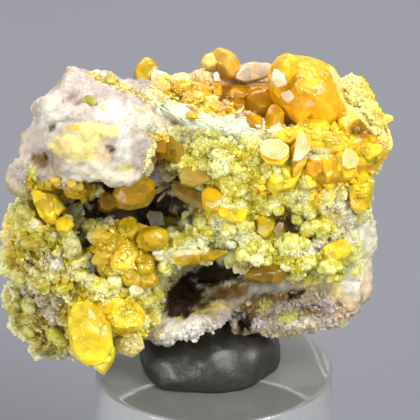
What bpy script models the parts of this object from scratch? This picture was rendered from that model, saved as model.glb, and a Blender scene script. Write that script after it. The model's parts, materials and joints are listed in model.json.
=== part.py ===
"""A wulfenite and mimetite thumbnail on pale rock, pressed into mineral tack on a clear acrylic rod.

The origin is the centre of the stand's base. +Z is up, -Y is the specimen's front and +X is on the
right of someone who faces it. Numbers are millimetres, and a height of rock, crust, crystal or tack
is measured from the stand's top.
"""

import math
import random

import bmesh
import bpy
from mathutils import Euler, Matrix, Vector

MM = 0.001

# Driving dimensions
STAND_DIAMETER = 15.0
STAND_HEIGHT = 12.0
STAND_EDGE = 0.35
STAND_SIDES = 48
STAND_SHARP_ANGLE = 40
TACK_RADIUS = 4.5
TACK_FOOT_RADIUS = 4.0
TACK_HEIGHT = 4.6
TACK_CENTRE = (-0.34, 0.45)
TACK_SIDES = 28
# How the putty is squashed: (share of its height, radius), from the foot up
TACK_PROFILE = (
    (0.0, TACK_FOOT_RADIUS),
    (0.25, 0.985 * TACK_RADIUS),
    (0.42, TACK_RADIUS),
    (0.68, 0.9 * TACK_RADIUS),
    (1.0, 0.55 * TACK_RADIUS),
)
# The gap between pieces that touch, to which a cutter adds a margin for what thinning it out may lose
GAP = 0.3
CUTTER_MARGIN = 0.12
WELD = 0.001

# Grain of the fused rock and crust, and the triangles that each keeps
ROCK_VOXEL = 0.34
CRUST_VOXEL = 0.26
ROCK_GRAIN = 1.6
ROCK_RELIEF = 0.55
ROCK_TRIANGLES = 2600
CRUST_TRIANGLES = 1500
UNCUT_CRUST_TRIANGLES = 3000
CUTTER_TRIANGLES = 850

# Rock: forms that fuse into one. Each is (form, centre, half size, turn about X, Y and Z in degrees)
ROCK_FORMS = (
    ("block", (-6.9, -1.9, 17.6), (2.9, 3.5, 2.0), (0, 8, -8)),
    ("lump", (-8.1, -0.2, 18.7), (1.7, 1.8, 1.3), (0, 10, 0)),
    ("block", (-9.2, -1.9, 16.7), (1.5, 2.9, 1.8), (0, 24, 0)),
    ("lump", (-4.9, -1.8, 16.9), (2.0, 2.8, 1.8), (0, 0, 0)),
    ("lump", (-6.2, -3.4, 16.2), (2.8, 2.1, 1.3), (0, 0, 0)),
    ("lump", (-11.7, -1.6, 13.9), (1.1, 1.3, 1.1), (0, 0, 0)),
    ("lump", (-9.6, 0.8, 14.0), (2.4, 2.4, 3.2), (0, 0, 0)),
    ("lump", (-1.4, 3.4, 10.6), (9.8, 3.5, 7.0), (0, -4, 0)),
    ("block", (0.2, 3.0, 14.8), (8.0, 3.2, 1.5), (0, 3, 2)),
    ("lump", (-5.6, 3.2, 16.1), (3.0, 2.2, 1.6), (0, 0, 0)),
    ("lump", (-1.6, 5.2, 16.0), (3.6, 1.3, 1.5), (0, 0, 0)),
    ("lump", (2.6, 5.4, 15.9), (3.2, 1.1, 1.3), (0, 0, 0)),
    ("lump", (-1.2, -1.0, 17.2), (4.6, 1.0, 1.0), (0, 11, 4)),
    ("block", (3.2, -0.4, 14.4), (5.4, 2.0, 2.0), (0, 5, -3)),
    ("lump", (3.0, -0.2, 11.0), (5.8, 2.4, 3.4), (0, 0, 0)),
    ("lump", (8.0, 1.6, 14.4), (1.8, 2.3, 2.2), (0, 0, 0)),
    ("lump", (7.2, 0.8, 12.0), (1.4, 2.9, 2.6), (0, 4, 0)),
    ("lump", (8.2, 0.6, 8.4), (1.7, 2.9, 3.0), (0, 4, 0)),
    ("lump", (8.2, 0.4, 6.2), (1.6, 2.6, 2.1), (0, 0, 0)),
    ("block", (4.6, 1.2, 5.2), (3.6, 3.0, 1.8), (4, -6, 0)),
    ("lump", (-2.6, 1.4, 5.0), (4.8, 3.2, 2.1), (0, 0, 0)),
    ("lump", (-1.6, -2.6, 4.5), (2.9, 0.9, 0.8), (0, -8, 8)),
    ("lump", (-7.6, -0.6, 8.0), (4.6, 3.2, 4.9), (0, 0, 0)),
    ("lump", (-6.6, 2.2, 7.0), (4.4, 3.2, 4.0), (0, 0, 0)),
    ("block", (3.8, 5.2, 9.6), (2.9, 1.3, 3.2), (0, 12, 14)),
    ("lump", (-5.8, 5.0, 12.4), (2.8, 1.5, 2.4), (0, 0, 0)),
    ("block", (-3.2, 5.4, 6.6), (2.2, 1.2, 1.9), (0, -24, -10)),
)
# Hollows that open to the front, and the crystals' seat on top, cut from the rock
HOLLOW_FORMS = (
    ("lump", (-5.4, -3.6, 13.2), (5.2, 3.5, 2.0), (0, 4, 0)),
    ("lump", (-0.4, -2.9, 12.9), (1.6, 2.4, 1.5), (0, 0, 0)),
    ("lump", (-0.8, -2.4, 6.5), (2.5, 3.4, 1.6), (0, -8, 0)),
    ("lump", (4.4, -3.6, 12.1), (2.1, 1.8, 1.0), (0, 8, 0)),
    ("lump", (2.6, 2.2, 17.6), (4.8, 2.1, 1.8), (0, 6, 0)),
    ("lump", (-0.6, 7.6, 10.2), (2.4, 1.7, 1.9), (0, 20, 0)),
)
# Crust: overlapping lobes, each (centre, radius)
RIGHT_LOBES = (
    ((-1.4, -2.0, 15.5), 1.4),
    ((0.4, -2.3, 15.3), 1.7),
    ((2.8, -2.4, 15.0), 1.8),
    ((5.2, -2.2, 14.7), 1.8),
    ((7.4, -1.8, 14.3), 1.7),
    ((4.6, -1.4, 16.0), 1.3),
    ((6.6, -1.2, 15.8), 1.4),
    ((8.4, -0.8, 15.0), 1.3),
    ((0.9, -2.6, 13.3), 1.5),
    ((3.2, -2.2, 13.0), 1.7),
    ((6.2, -2.2, 12.6), 1.7),
    ((7.8, -1.7, 12.4), 1.3),
    ((-0.6, -2.5, 11.2), 1.2),
    ((1.0, -2.6, 11.2), 1.4),
    ((3.2, -1.9, 11.2), 1.5),
    ((7.0, -2.2, 11.0), 1.5),
    ((2.4, -3.2, 9.8), 1.3),
    ((4.6, -3.5, 9.7), 1.3),
    ((6.4, -3.1, 9.6), 1.3),
    ((7.6, -2.2, 9.7), 1.1),
    ((-2.4, -2.9, 9.9), 1.0),
    ((-1.1, -2.9, 10.3), 1.1),
)
LEFT_LOBES = (
    ((-11.3, -2.2, 11.0), 1.6),
    ((-9.2, -3.0, 10.8), 1.6),
    ((-7.0, -3.2, 10.2), 1.6),
    ((-5.2, -3.0, 9.2), 1.4),
    ((-11.4, -2.4, 8.8), 1.7),
    ((-9.4, -3.4, 8.4), 1.8),
    ((-7.0, -3.6, 7.9), 1.7),
    ((-5.0, -3.2, 7.0), 1.4),
    ((-10.8, -2.4, 6.4), 1.7),
    ((-8.8, -3.2, 6.0), 1.7),
    ((-6.8, -3.4, 5.4), 1.6),
    ((-5.0, -3.0, 4.9), 1.2),
    ((-9.8, -2.6, 3.9), 1.6),
    ((-7.6, -3.0, 3.6), 1.5),
    ((-11.4, -2.0, 4.8), 1.3),
    ((-11.6, 0.0, 8.4), 1.3),
    ((-11.2, 0.2, 10.6), 1.2),
)
# The small balls on each lobe, in degrees to either side of straight ahead and below level
BALLS_PER_LOBE = 5
BALL_RADII = (0.45, 0.75)
BALL_SPREAD = (-80, 80)
BALL_DROP = (-60, 30)
BALL_SUNK = 0.2
BALL_SEED = 11

# Wulfenite: each crystal is (centre, size across, deep and along its c axis, turn in degrees)
CRYSTALS = {
    "wulfenite_top_cluster": (
        ((5.9, 1.0, 18.5), (3.8, 3.3, 3.7), (14, 20, 28)),
        ((4.7, 0.9, 19.4), (1.7, 2.6, 2.4), (8, 14, 30)),
        ((6.9, -0.1, 17.0), (2.8, 1.8, 2.2), (20, 12, 26)),
        ((4.5, 0.0, 18.0), (1.3, 1.1, 1.3), (20, 30, 10)),
        ((8.2, 1.2, 18.5), (2.6, 3.0, 1.7), (-24, 40, 0)),
        ((9.4, 0.7, 17.2), (2.8, 2.8, 1.6), (-18, 54, 10)),
        ((10.1, 0.3, 16.0), (1.8, 2.2, 1.4), (-10, 62, 0)),
        ((9.5, -0.2, 14.7), (1.8, 2.0, 1.3), (0, 20, 0)),
        ((3.2, 0.8, 16.9), (2.2, 1.9, 1.7), (28, 8, -12)),
        ((2.2, 2.4, 17.0), (2.2, 2.4, 1.8), (24, -12, 30)),
        ((0.4, 2.6, 17.2), (2.3, 2.2, 1.8), (30, 14, 8)),
        ((1.4, 0.9, 16.9), (1.5, 1.4, 1.4), (40, 0, 12)),
        ((3.9, 3.2, 17.0), (2.2, 2.2, 2.0), (20, 20, 0)),
        ((1.2, 3.8, 17.1), (2.4, 2.2, 1.8), (14, -8, 20)),
        ((0.1, 5.0, 18.2), (2.4, 2.0, 2.3), (10, 8, 16)),
        ((2.6, 4.8, 17.7), (2.2, 2.0, 1.4), (74, 0, -8)),
        ((-1.4, 2.3, 17.9), (1.7, 1.7, 1.7), (36, -12, 20)),
        ((-2.6, 2.5, 18.0), (1.7, 1.8, 1.9), (20, 10, 0)),
        ((-0.9, 1.1, 17.6), (1.3, 1.3, 1.4), (60, 6, 10)),
        ((-3.4, 1.8, 18.3), (1.3, 1.7, 2.4), (14, -12, 30)),
        ((-4.4, 2.0, 18.7), (1.4, 1.8, 3.0), (8, 6, 10)),
    ),
    "wulfenite_hexagonal_tablet": (
        ((3.8, -3.5, 16.5), (2.0, 1.9, 1.5), (66, 4, 6)),
    ),
    "wulfenite_blade": (
        ((5.6, -3.1, 16.3), (1.6, 2.3, 1.3), (60, 24, -20)),
    ),
    "wulfenite_right_tablets": (
        ((8.2, -2.8, 15.2), (1.8, 2.0, 1.7), (70, 6, 12)),
        ((7.0, -3.2, 15.3), (1.8, 1.7, 1.7), (60, -8, 0)),
    ),
    "wulfenite_stub_left": (
        ((0.0, -4.1, 13.7), (1.3, 1.5, 1.8), (62, 0, -12)),
    ),
    "wulfenite_stub_right": (
        ((1.5, -4.4, 13.0), (1.7, 1.4, 1.9), (50, 16, 14)),
    ),
    "wulfenite_ghost_tablet": (
        ((-0.9, -3.2, 14.1), (1.7, 1.3, 1.0), (64, 0, 10)),
    ),
    "wulfenite_pillow": (
        ((-4.0, -4.3, 11.2), (1.9, 1.6, 1.5), (30, 10, 18)),
    ),
    "wulfenite_pendant": (
        ((-10.4, -3.4, 13.5), (1.5, 1.3, 2.9), (0, 14, 20)),
    ),
    "wulfenite_lemon": (
        ((-7.6, -5.0, 5.8), (2.3, 1.7, 4.2), (6, 4, 12)),
        ((-7.2, -4.7, 3.7), (1.3, 1.2, 1.8), (6, -8, 30)),
        ((-5.4, -4.8, 6.2), (2.0, 1.4, 1.8), (20, 10, 40)),
    ),
    "wulfenite_shelf_tablet": (
        ((2.6, -3.6, 8.6), (3.2, 2.4, 0.9), (12, -4, 8)),
    ),
    "wulfenite_pocket": (
        ((3.3, -4.0, 12.1), (1.8, 1.8, 1.5), (40, 12, 20)),
    ),
    "yellow_sheet": (
        ((9.0, 1.4, 12.2), (1.2, 2.6, 3.4), (0, 4, 0)),
    ),
}
# Crystals of the large hollow, on the crust that lines it
HOLLOW_LINING = (
    ("lump", (-5.6, -1.0, 12.6), (3.6, 1.6, 2.0), (0, 0, 0)),
    ("lump", (-2.2, -0.8, 12.6), (2.2, 1.4, 1.6), (0, 0, 0)),
)
LINING_TRIANGLES = 160
HOLLOW_CRYSTALS = (
    ((-5.0, -2.8, 13.3), (2.2, 1.6, 1.5), (24, 12, 12)),
    ((-6.6, -2.4, 12.2), (1.8, 1.5, 1.3), (30, -20, 30)),
    ((-4.8, -2.8, 11.8), (1.5, 1.4, 1.2), (20, 30, 0)),
    ((-8.2, -1.8, 13.4), (1.8, 1.5, 1.6), (10, 20, 40)),
    ((-2.6, -1.9, 13.4), (1.9, 0.8, 1.6), (10, 50, 10)),
    ((-1.4, -2.0, 12.9), (1.7, 0.9, 1.5), (20, -30, 20)),
)
CRYSTAL_CHAMFER = 0.2

# Each material is (colour, roughness, metallic)
MATERIALS = {
    "rock": ((0.80, 0.70, 0.58), 0.75, 0.0),
    "mimetite": ((0.62, 0.56, 0.12), 0.55, 0.0),
    "wulfenite": ((0.86, 0.46, 0.04), 0.22, 0.0),
    "tack": ((0.035, 0.035, 0.03), 0.6, 0.0),
    "acrylic": ((0.80, 0.82, 0.80), 0.08, 0.0),
}


def clear_scene():
    for obj in list(bpy.data.objects):
        bpy.data.objects.remove(obj, do_unlink=True)


def new_collection(name):
    collection = bpy.data.collections.new(name)
    bpy.context.scene.collection.children.link(collection)
    return collection


def new_material(name):
    colour, roughness, metallic = MATERIALS[name]
    material = bpy.data.materials.new(name)
    material.use_nodes = True
    shader = material.node_tree.nodes["Principled BSDF"]
    shader.inputs["Base Color"].default_value = (*colour, 1.0)
    shader.inputs["Roughness"].default_value = roughness
    shader.inputs["Metallic"].default_value = metallic
    material.diffuse_color = (*colour, 1.0)
    return material


def placed(centre, turn=(0, 0, 0)):
    """The matrix of a form on the specimen: centre in millimetres from the stand's top, turn in degrees."""
    x, y, z = centre
    spot = Vector((x, y, z + STAND_HEIGHT)) * MM
    return Matrix.Translation(spot) @ Euler([math.radians(a) for a in turn]).to_matrix().to_4x4()


def stretched(half):
    return Matrix.Diagonal((*(side * MM for side in half), 1.0))


def add_lump(bm, centre, half, turn=(0, 0, 0), detail=3):
    bmesh.ops.create_icosphere(
        bm, subdivisions=detail, radius=1.0, matrix=placed(centre, turn) @ stretched(half)
    )


def add_block(bm, centre, half, turn=(0, 0, 0), chamfer=0.0):
    """A box, with every edge cut back by chamfer times its shortest side."""
    made = bmesh.ops.create_cube(bm, size=2.0, matrix=stretched(half))
    if chamfer:
        edges = list({edge for vertex in made["verts"] for edge in vertex.link_edges})
        made = bmesh.ops.bevel(
            bm, geom=edges, offset=2 * min(half) * MM * chamfer, segments=1, affect="EDGES"
        )
    vertices = list({vertex for face in made["faces"] for vertex in face.verts}) if chamfer else made["verts"]
    bmesh.ops.transform(bm, matrix=placed(centre, turn), verts=vertices)


def add_forms(bm, forms):
    for form, centre, half, turn in forms:
        if form == "block":
            add_block(bm, centre, half, turn)
        else:
            add_lump(bm, centre, half, turn)


def object_of(name, bm, collection, material=None):
    mesh = bpy.data.meshes.new(name)
    bm.to_mesh(mesh)
    bm.free()
    obj = bpy.data.objects.new(name, mesh)
    collection.objects.link(obj)
    if material:
        mesh.materials.append(material)
    return obj


def bake(obj):
    """Puts the result of the object's modifiers in its mesh."""
    bpy.context.view_layer.update()
    graph = bpy.context.evaluated_depsgraph_get()
    mesh = bpy.data.meshes.new_from_object(obj.evaluated_get(graph))
    obj.modifiers.clear()
    obj.data = mesh


def fuse(obj, voxel):
    """Makes one skin of overlapping forms."""
    remesh = obj.modifiers.new("fuse", "REMESH")
    remesh.mode = "VOXEL"
    remesh.voxel_size = voxel * MM
    bake(obj)


def swell(obj, amount, texture=None):
    """Moves the surface along its normals by amount, or up to half of it each way by a texture."""
    displace = obj.modifiers.new("swell", "DISPLACE")
    displace.strength = amount * MM
    displace.mid_level = 0.0
    if texture:
        displace.mid_level = 0.5
        displace.texture = texture
    bake(obj)


def thin_out(obj, triangles):
    faces = sum(len(face.vertices) - 2 for face in obj.data.polygons)
    decimate = obj.modifiers.new("thin out", "DECIMATE")
    decimate.ratio = min(1.0, triangles / faces)
    bake(obj)


def subtract(obj, cutter):
    difference = obj.modifiers.new("cut", "BOOLEAN")
    difference.operation = "DIFFERENCE"
    difference.object = cutter
    bake(obj)


def unite(obj, other):
    union = obj.modifiers.new("join", "BOOLEAN")
    union.operation = "UNION"
    union.object = other
    bake(obj)
    bpy.data.objects.remove(other, do_unlink=True)


def keep_largest_body(obj):
    """Drops the crumbs that a cut leaves loose."""
    bm = bmesh.new()
    bm.from_mesh(obj.data)
    bmesh.ops.triangulate(bm, faces=bm.faces)
    waiting = set(bm.faces)
    bodies = []
    while waiting:
        body = {waiting.pop()}
        front = list(body)
        while front:
            face = front.pop()
            for edge in face.edges:
                for other in edge.link_faces:
                    if other in waiting:
                        waiting.remove(other)
                        body.add(other)
                        front.append(other)
        bodies.append(body)
    largest = max(bodies, key=lambda body: sum(face.calc_area() for face in body))
    crumbs = [face for body in bodies if body is not largest for face in body]
    bmesh.ops.delete(bm, geom=crumbs, context="FACES")
    bm.to_mesh(obj.data)
    bm.free()


def noise_texture(name, kind, grain):
    texture = bpy.data.textures.new(name, kind)
    texture.noise_scale = grain * MM
    return texture


def clearance(obj, cutters):
    """A cutter that stands off the object by the gap, for what is cut to fit it."""
    cutter = bpy.data.objects.new(obj.name + "_clearance", obj.data.copy())
    cutters.objects.link(cutter)
    swell(cutter, GAP + CUTTER_MARGIN)
    fuse(cutter, ROCK_VOXEL)
    thin_out(cutter, CUTTER_TRIANGLES)
    cutter.hide_render = True
    cutter.display_type = "WIRE"
    return cutter


def make_rock(parts, cutters, material):
    bm = bmesh.new()
    add_forms(bm, ROCK_FORMS)
    rock = object_of("matrix", bm, parts, material)
    fuse(rock, ROCK_VOXEL)
    bm = bmesh.new()
    add_forms(bm, HOLLOW_FORMS)
    hollows = object_of("hollows", bm, cutters)
    fuse(hollows, ROCK_VOXEL)
    subtract(rock, hollows)
    bpy.data.objects.remove(hollows, do_unlink=True)
    swell(rock, ROCK_RELIEF, noise_texture("rock grain", "VORONOI", ROCK_GRAIN))
    fuse(rock, ROCK_VOXEL)
    thin_out(rock, ROCK_TRIANGLES)
    keep_largest_body(rock)
    return rock


def add_crust_lobes(bm, lobes, dice):
    """Lobes, each with smaller balls half sunk in the side that faces forward."""
    for centre, radius in lobes:
        add_lump(bm, centre, (radius,) * 3)
        for _ in range(BALLS_PER_LOBE):
            across = math.radians(dice.uniform(*BALL_SPREAD))
            drop = math.radians(dice.uniform(*BALL_DROP))
            way = Euler((drop, 0, across)).to_matrix() @ Vector((0, -1, 0))
            ball = dice.uniform(*BALL_RADII)
            add_lump(bm, Vector(centre) + way * (radius - BALL_SUNK * ball), (ball,) * 3, detail=2)


def make_crust(name, lobes, rock_clearance, parts, material, dice):
    bm = bmesh.new()
    add_crust_lobes(bm, lobes, dice)
    crust = object_of(name, bm, parts, material)
    fuse(crust, CRUST_VOXEL)
    thin_out(crust, UNCUT_CRUST_TRIANGLES)
    subtract(crust, rock_clearance)
    keep_largest_body(crust)
    thin_out(crust, CRUST_TRIANGLES)
    return crust


def make_crystals(name, crystals, clearances, parts, material):
    """Tablets with cut edges, joined where they overlap and cut off where they meet what they grow on."""
    cluster = None
    for centre, size, turn in crystals:
        bm = bmesh.new()
        add_block(bm, centre, [side / 2 for side in size], turn, CRYSTAL_CHAMFER)
        crystal = object_of(name, bm, parts, material)
        if cluster:
            unite(cluster, crystal)
        else:
            cluster = crystal
    for cutter in clearances:
        subtract(cluster, cutter)
    keep_largest_body(cluster)
    cluster.name = name
    return cluster


def make_hollow_crystals(clearances, parts, material):
    bm = bmesh.new()
    add_forms(bm, HOLLOW_LINING)
    lining = object_of("hollow_crystals", bm, parts, material)
    fuse(lining, ROCK_VOXEL)
    thin_out(lining, LINING_TRIANGLES)
    for centre, size, turn in HOLLOW_CRYSTALS:
        bm = bmesh.new()
        add_block(bm, centre, [side / 2 for side in size], turn, CRYSTAL_CHAMFER)
        unite(lining, object_of("crystal", bm, parts, material))
    for cutter in clearances:
        subtract(lining, cutter)
    keep_largest_body(lining)
    return lining


def make_tack(clearances, parts, material):
    """A squashed ball: flat on the stand, fuller above its foot, pressed up under the rock."""
    bm = bmesh.new()
    span = TACK_HEIGHT - GAP
    for (low, low_radius), (high, high_radius) in zip(TACK_PROFILE, TACK_PROFILE[1:]):
        middle = GAP + (low + high) / 2 * span
        bmesh.ops.create_cone(
            bm,
            segments=TACK_SIDES,
            radius1=low_radius * MM,
            radius2=high_radius * MM,
            depth=(high - low) * span * MM,
            matrix=placed((*TACK_CENTRE, middle)),
        )
    bmesh.ops.remove_doubles(bm, verts=bm.verts, dist=WELD * MM)
    bmesh.ops.holes_fill(bm, edges=[edge for edge in bm.edges if edge.is_boundary])
    bmesh.ops.recalc_face_normals(bm, faces=bm.faces)
    tack = object_of("mineral_tack", bm, parts, material)
    for cutter in clearances:
        subtract(tack, cutter)
    keep_largest_body(tack)
    return tack


def make_stand(parts, material):
    bm = bmesh.new()
    radius = STAND_DIAMETER / 2 * MM
    middle = Matrix.Translation((0, 0, STAND_HEIGHT / 2 * MM))
    bmesh.ops.create_cone(
        bm,
        cap_ends=True,
        segments=STAND_SIDES,
        radius1=radius,
        radius2=radius,
        depth=STAND_HEIGHT * MM,
        matrix=middle,
    )
    stand = object_of("acrylic_stand", bm, parts, material)
    bevel = stand.modifiers.new("polished edge", "BEVEL")
    bevel.width = STAND_EDGE * MM
    bevel.segments = 1
    bevel.limit_method = "ANGLE"
    bevel.angle_limit = math.radians(STAND_SHARP_ANGLE)
    stand.data.shade_smooth()
    stand.data.set_sharp_from_angle(angle=math.radians(STAND_SHARP_ANGLE))
    return stand


def main():
    clear_scene()
    parts = new_collection("wulfenite specimen")
    cutters = new_collection("cutters")
    materials = {name: new_material(name) for name in MATERIALS}
    dice = random.Random(BALL_SEED)
    rock = make_rock(parts, cutters, materials["rock"])
    on_rock = [clearance(rock, cutters)]
    crusts = [
        make_crust("mimetite_crust_right", RIGHT_LOBES, on_rock[0], parts, materials["mimetite"], dice),
        make_crust("mimetite_crust_left", LEFT_LOBES, on_rock[0], parts, materials["mimetite"], dice),
    ]
    on_all = on_rock + [clearance(crust, cutters) for crust in crusts]
    make_hollow_crystals(on_all, parts, materials["wulfenite"])
    for name, crystals in CRYSTALS.items():
        make_crystals(name, crystals, on_all, parts, materials["wulfenite"])
    make_tack(on_all, parts, materials["tack"])
    make_stand(parts, materials["acrylic"])


main()
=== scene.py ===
"""Wulfenite crystals and mimetite crust on pale rock, in mineral tack on a clear acrylic rod.

+Z is up, -Y is the specimen's front and the origin is the centre of the rod's foot. Shapes are worked
out in millimetres and become metres when a mesh is made. A place on the specimen's face is given as
(right, down) in a view of it from the front and 26 degrees above, 420 pixels square; the line of sight
through it finds the place in space.
"""

import json
import math
from collections import namedtuple
from itertools import product

import bmesh
import bpy
import numpy as np
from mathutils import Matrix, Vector
from mathutils.bvhtree import BVHTree

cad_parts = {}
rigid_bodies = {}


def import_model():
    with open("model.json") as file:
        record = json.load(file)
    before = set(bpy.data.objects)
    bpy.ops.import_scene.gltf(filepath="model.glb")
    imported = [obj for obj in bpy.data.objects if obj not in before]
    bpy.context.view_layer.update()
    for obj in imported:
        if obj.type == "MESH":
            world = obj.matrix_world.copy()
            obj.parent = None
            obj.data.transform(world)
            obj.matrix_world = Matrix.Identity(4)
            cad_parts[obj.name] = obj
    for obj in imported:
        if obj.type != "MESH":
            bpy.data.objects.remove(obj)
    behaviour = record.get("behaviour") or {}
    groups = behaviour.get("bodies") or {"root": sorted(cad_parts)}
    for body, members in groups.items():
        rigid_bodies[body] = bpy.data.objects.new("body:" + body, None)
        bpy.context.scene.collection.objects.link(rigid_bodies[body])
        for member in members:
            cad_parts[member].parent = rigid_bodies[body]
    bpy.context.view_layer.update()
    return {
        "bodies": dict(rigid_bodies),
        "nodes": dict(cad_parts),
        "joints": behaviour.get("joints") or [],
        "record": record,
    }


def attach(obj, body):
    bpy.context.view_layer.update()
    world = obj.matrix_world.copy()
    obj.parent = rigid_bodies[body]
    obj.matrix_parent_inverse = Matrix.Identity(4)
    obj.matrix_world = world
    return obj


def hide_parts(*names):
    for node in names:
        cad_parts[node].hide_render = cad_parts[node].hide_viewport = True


MM = 0.001

# The view: where the camera looks, from where, and how many pixels are a millimetre there
VIEW_ELEVATION = math.radians(26)
VIEW_TARGET = np.array((-0.25, 0.0, 22.99))
VIEW_DISTANCE = 250.0
VIEW_PIXELS = 420
SENSOR_WIDTH = 36.0
LENS = 345.0
PIXELS_PER_MM = VIEW_PIXELS * LENS / (SENSOR_WIDTH * VIEW_DISTANCE)
RIGHT = np.array((1.0, 0.0, 0.0))
UPWARD = np.array((0.0, math.sin(VIEW_ELEVATION), math.cos(VIEW_ELEVATION)))
TOWARD = np.array((0.0, -math.cos(VIEW_ELEVATION), math.sin(VIEW_ELEVATION)))
EYE = VIEW_TARGET + VIEW_DISTANCE * TOWARD

# Colours of the minerals, of painted shade and of painted reflections, as they look on a screen (0 to 255)
COLOURS = {
    "pink white": (200, 188, 178), "chalk": (228, 224, 212), "cream": (226, 218, 194),
    "straw": (232, 212, 132), "lemon": (246, 228, 58), "butter": (240, 226, 150),
    "shell": (250, 226, 170), "brown amber": (164, 130, 30), "smoke": (190, 176, 142),
    "old gold": (228, 192, 84), "ghost": (224, 202, 104), "golden": (240, 214, 62),
    "lime": (232, 230, 100), "pale lime": (244, 242, 176), "mint": (242, 248, 214),
    "mint white": (242, 248, 222), "pink glass": (238, 216, 198), "pale pink": (252, 238, 226),
    "leaf": (210, 208, 76), "moss": (198, 194, 108), "olive": (186, 170, 54), "grey": (168, 156, 146),
    "drab": (172, 160, 130), "lilac": (192, 178, 172), "brown": (132, 104, 60), "umber": (44, 30, 12),
    "peach": (234, 208, 172), "orange": (252, 204, 38), "honey": (224, 172, 12), "tan": (246, 216, 178),
    "pale wulfenite": (255, 246, 164), "yolk": (250, 220, 50), "deep orange": (246, 194, 36),
    "thumb amber": (228, 194, 48), "cluster gold": (206, 182, 28), "dull amber": (152, 122, 16),
    "bead amber": (180, 144, 14), "grey glass": (132, 134, 118),
}


# Numbers spread over space

# How much a chip's plane tilts and how fast it falls off, the least reach of a knob, what chance adds
CHIP_TILT = 1.3
CHIP_FALL = 0.55
KNOB_LEAST = 0.5
KNOB_MORE = 0.3


def smooth_step(low, high, value):
    """From 0 at low to 1 at high, level at both ends."""
    share = np.clip((value - low) / (high - low), 0.0, 1.0)
    return share * share * (3.0 - 2.0 * share)


def scramble(cubes, seed):
    """A number from 0 to 1 for each whole-numbered cube: its three places mixed by large odd factors."""
    places = cubes.astype(np.int64).astype(np.uint32)
    mixed = places[..., 0] * np.uint32(73856093) ^ places[..., 1] * np.uint32(19349663)
    mixed = mixed ^ places[..., 2] * np.uint32(83492791) ^ np.uint32((seed * 2654435761 + 97) % 2**32)
    mixed = (mixed ^ (mixed >> np.uint32(13))) * np.uint32(1274126177)
    mixed = (mixed ^ (mixed >> np.uint32(15))) * np.uint32(2246822519)
    return (mixed ^ (mixed >> np.uint32(16))) / 4294967296.0


def scrambled(cubes, seed, turns):
    """Three such numbers side by side, from the seed and its turns."""
    return np.stack([scramble(cubes, seed + turn) for turn in turns], axis=-1)


def noise(points, grain, seed):
    """From -1 to 1: random values at the corners of cubes as wide as the grain, blended across each."""
    scaled = points / grain
    cell = np.floor(scaled)
    part = scaled - cell
    part = part**3 * (part * (part * 6.0 - 15.0) + 10.0)
    total = np.zeros(len(points))
    for corner in product((0, 1), repeat=3):
        weight = np.prod(np.where(corner, part, 1.0 - part), axis=1)
        total += weight * scramble(cell + np.array(corner), seed)
    return 2.0 * total - 1.0


def rough(points, grain, seed, octaves, fade=0.5):
    """Noise over noise: each layer has half the grain of the one before and fade times its height."""
    return sum(fade**k * noise(points, grain / 2**k, seed + 7 * k) for k in range(octaves))


def wander(points, grain, seeds):
    """Rough noise for each seed, side by side, to push places about with."""
    return np.stack([rough(points, grain, seed, 3) for seed in seeds], axis=-1)


def spots_near(points, grain, seed):
    """For each cube beside the points' own, with one spot strewn in it: the cube, and the way from its spot
    to the point in grains."""
    scaled = points / grain
    base = np.floor(scaled)
    for step in product((-1, 0, 1), repeat=3):
        cube = base + np.array(step)
        yield cube, scaled - (cube + scrambled(cube, seed, (1, 2, 3)))


def chips(points, grain, seed):
    """Broken facets: the highest of many tilted planes, one through each strewn spot, that fall off with
    the square of the distance."""
    height = np.full(len(points), -9.0)
    for cube, away in spots_near(points, grain, seed):
        tilt = scrambled(cube, seed, (5, 6, 7)) - 0.5
        plane = CHIP_TILT * np.sum(away * tilt, axis=1) - CHIP_FALL * np.sum(away * away, axis=1)
        height = np.maximum(height, plane)
    return height


def knobs(points, grain, seed):
    """Packed half balls: the height of a ball round each strewn spot, nought between them."""
    near = np.full(len(points), 9.0)
    number = np.zeros(len(points))
    for cube, away in spots_near(points, grain, seed):
        gap = np.linalg.norm(away, axis=1)
        number = np.where(gap < near, scramble(cube, seed + 4), number)
        near = np.minimum(near, gap)
    reach = KNOB_LEAST + KNOB_MORE * number
    return np.sqrt(np.clip(1.0 - (near / reach) ** 2, 0.0, 1.0)) * reach


# The view's own places

def sight(places):
    """The unit lines of sight through places of the view."""
    places = np.atleast_2d(np.asarray(places, float))
    across = (places[:, 0] - VIEW_PIXELS / 2) / PIXELS_PER_MM
    up = (VIEW_PIXELS / 2 - places[:, 1]) / PIXELS_PER_MM
    lines = VIEW_TARGET + across[:, None] * RIGHT + up[:, None] * UPWARD - EYE
    return lines / np.linalg.norm(lines, axis=1)[:, None]


def at_depth(place, y):
    """The point at that y on the line of sight through a place of the view."""
    line = sight(place)[0]
    return EYE + line * (y - EYE[1]) / line[1]


def in_view(points):
    """Where points show in the view."""
    away = points - EYE
    distance = -(away @ TOWARD)
    scale = PIXELS_PER_MM * VIEW_DISTANCE / distance
    across = VIEW_PIXELS / 2 + scale * (away @ RIGHT)
    down = VIEW_PIXELS / 2 - scale * (away @ UPWARD)
    return np.stack((across, down), axis=1)


def cosine_and_sine(turn=0):
    return math.cos(math.radians(turn)), math.sin(math.radians(turn))


def turned_line(turn=0):
    """The way in space of a line of the view, turned by so many degrees to its lower side, and the way that
    stands on it."""
    cosine, sine = cosine_and_sine(turn)
    return cosine * RIGHT - sine * UPWARD, sine * RIGHT + cosine * UPWARD


# Meshes

Skin = namedtuple("Skin", "points triangles quads normals")
# Points of a CAD node's mesh that are this near, in metres, are one
MERGE_DISTANCE = 1e-7


def linear(name):
    """A named colour as light, which is what a mesh's colours hold."""
    shares = np.array(COLOURS[name]) / 255.0
    return np.where(shares <= 0.04045, shares / 12.92, ((shares + 0.055) / 1.055) ** 2.4)


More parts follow.
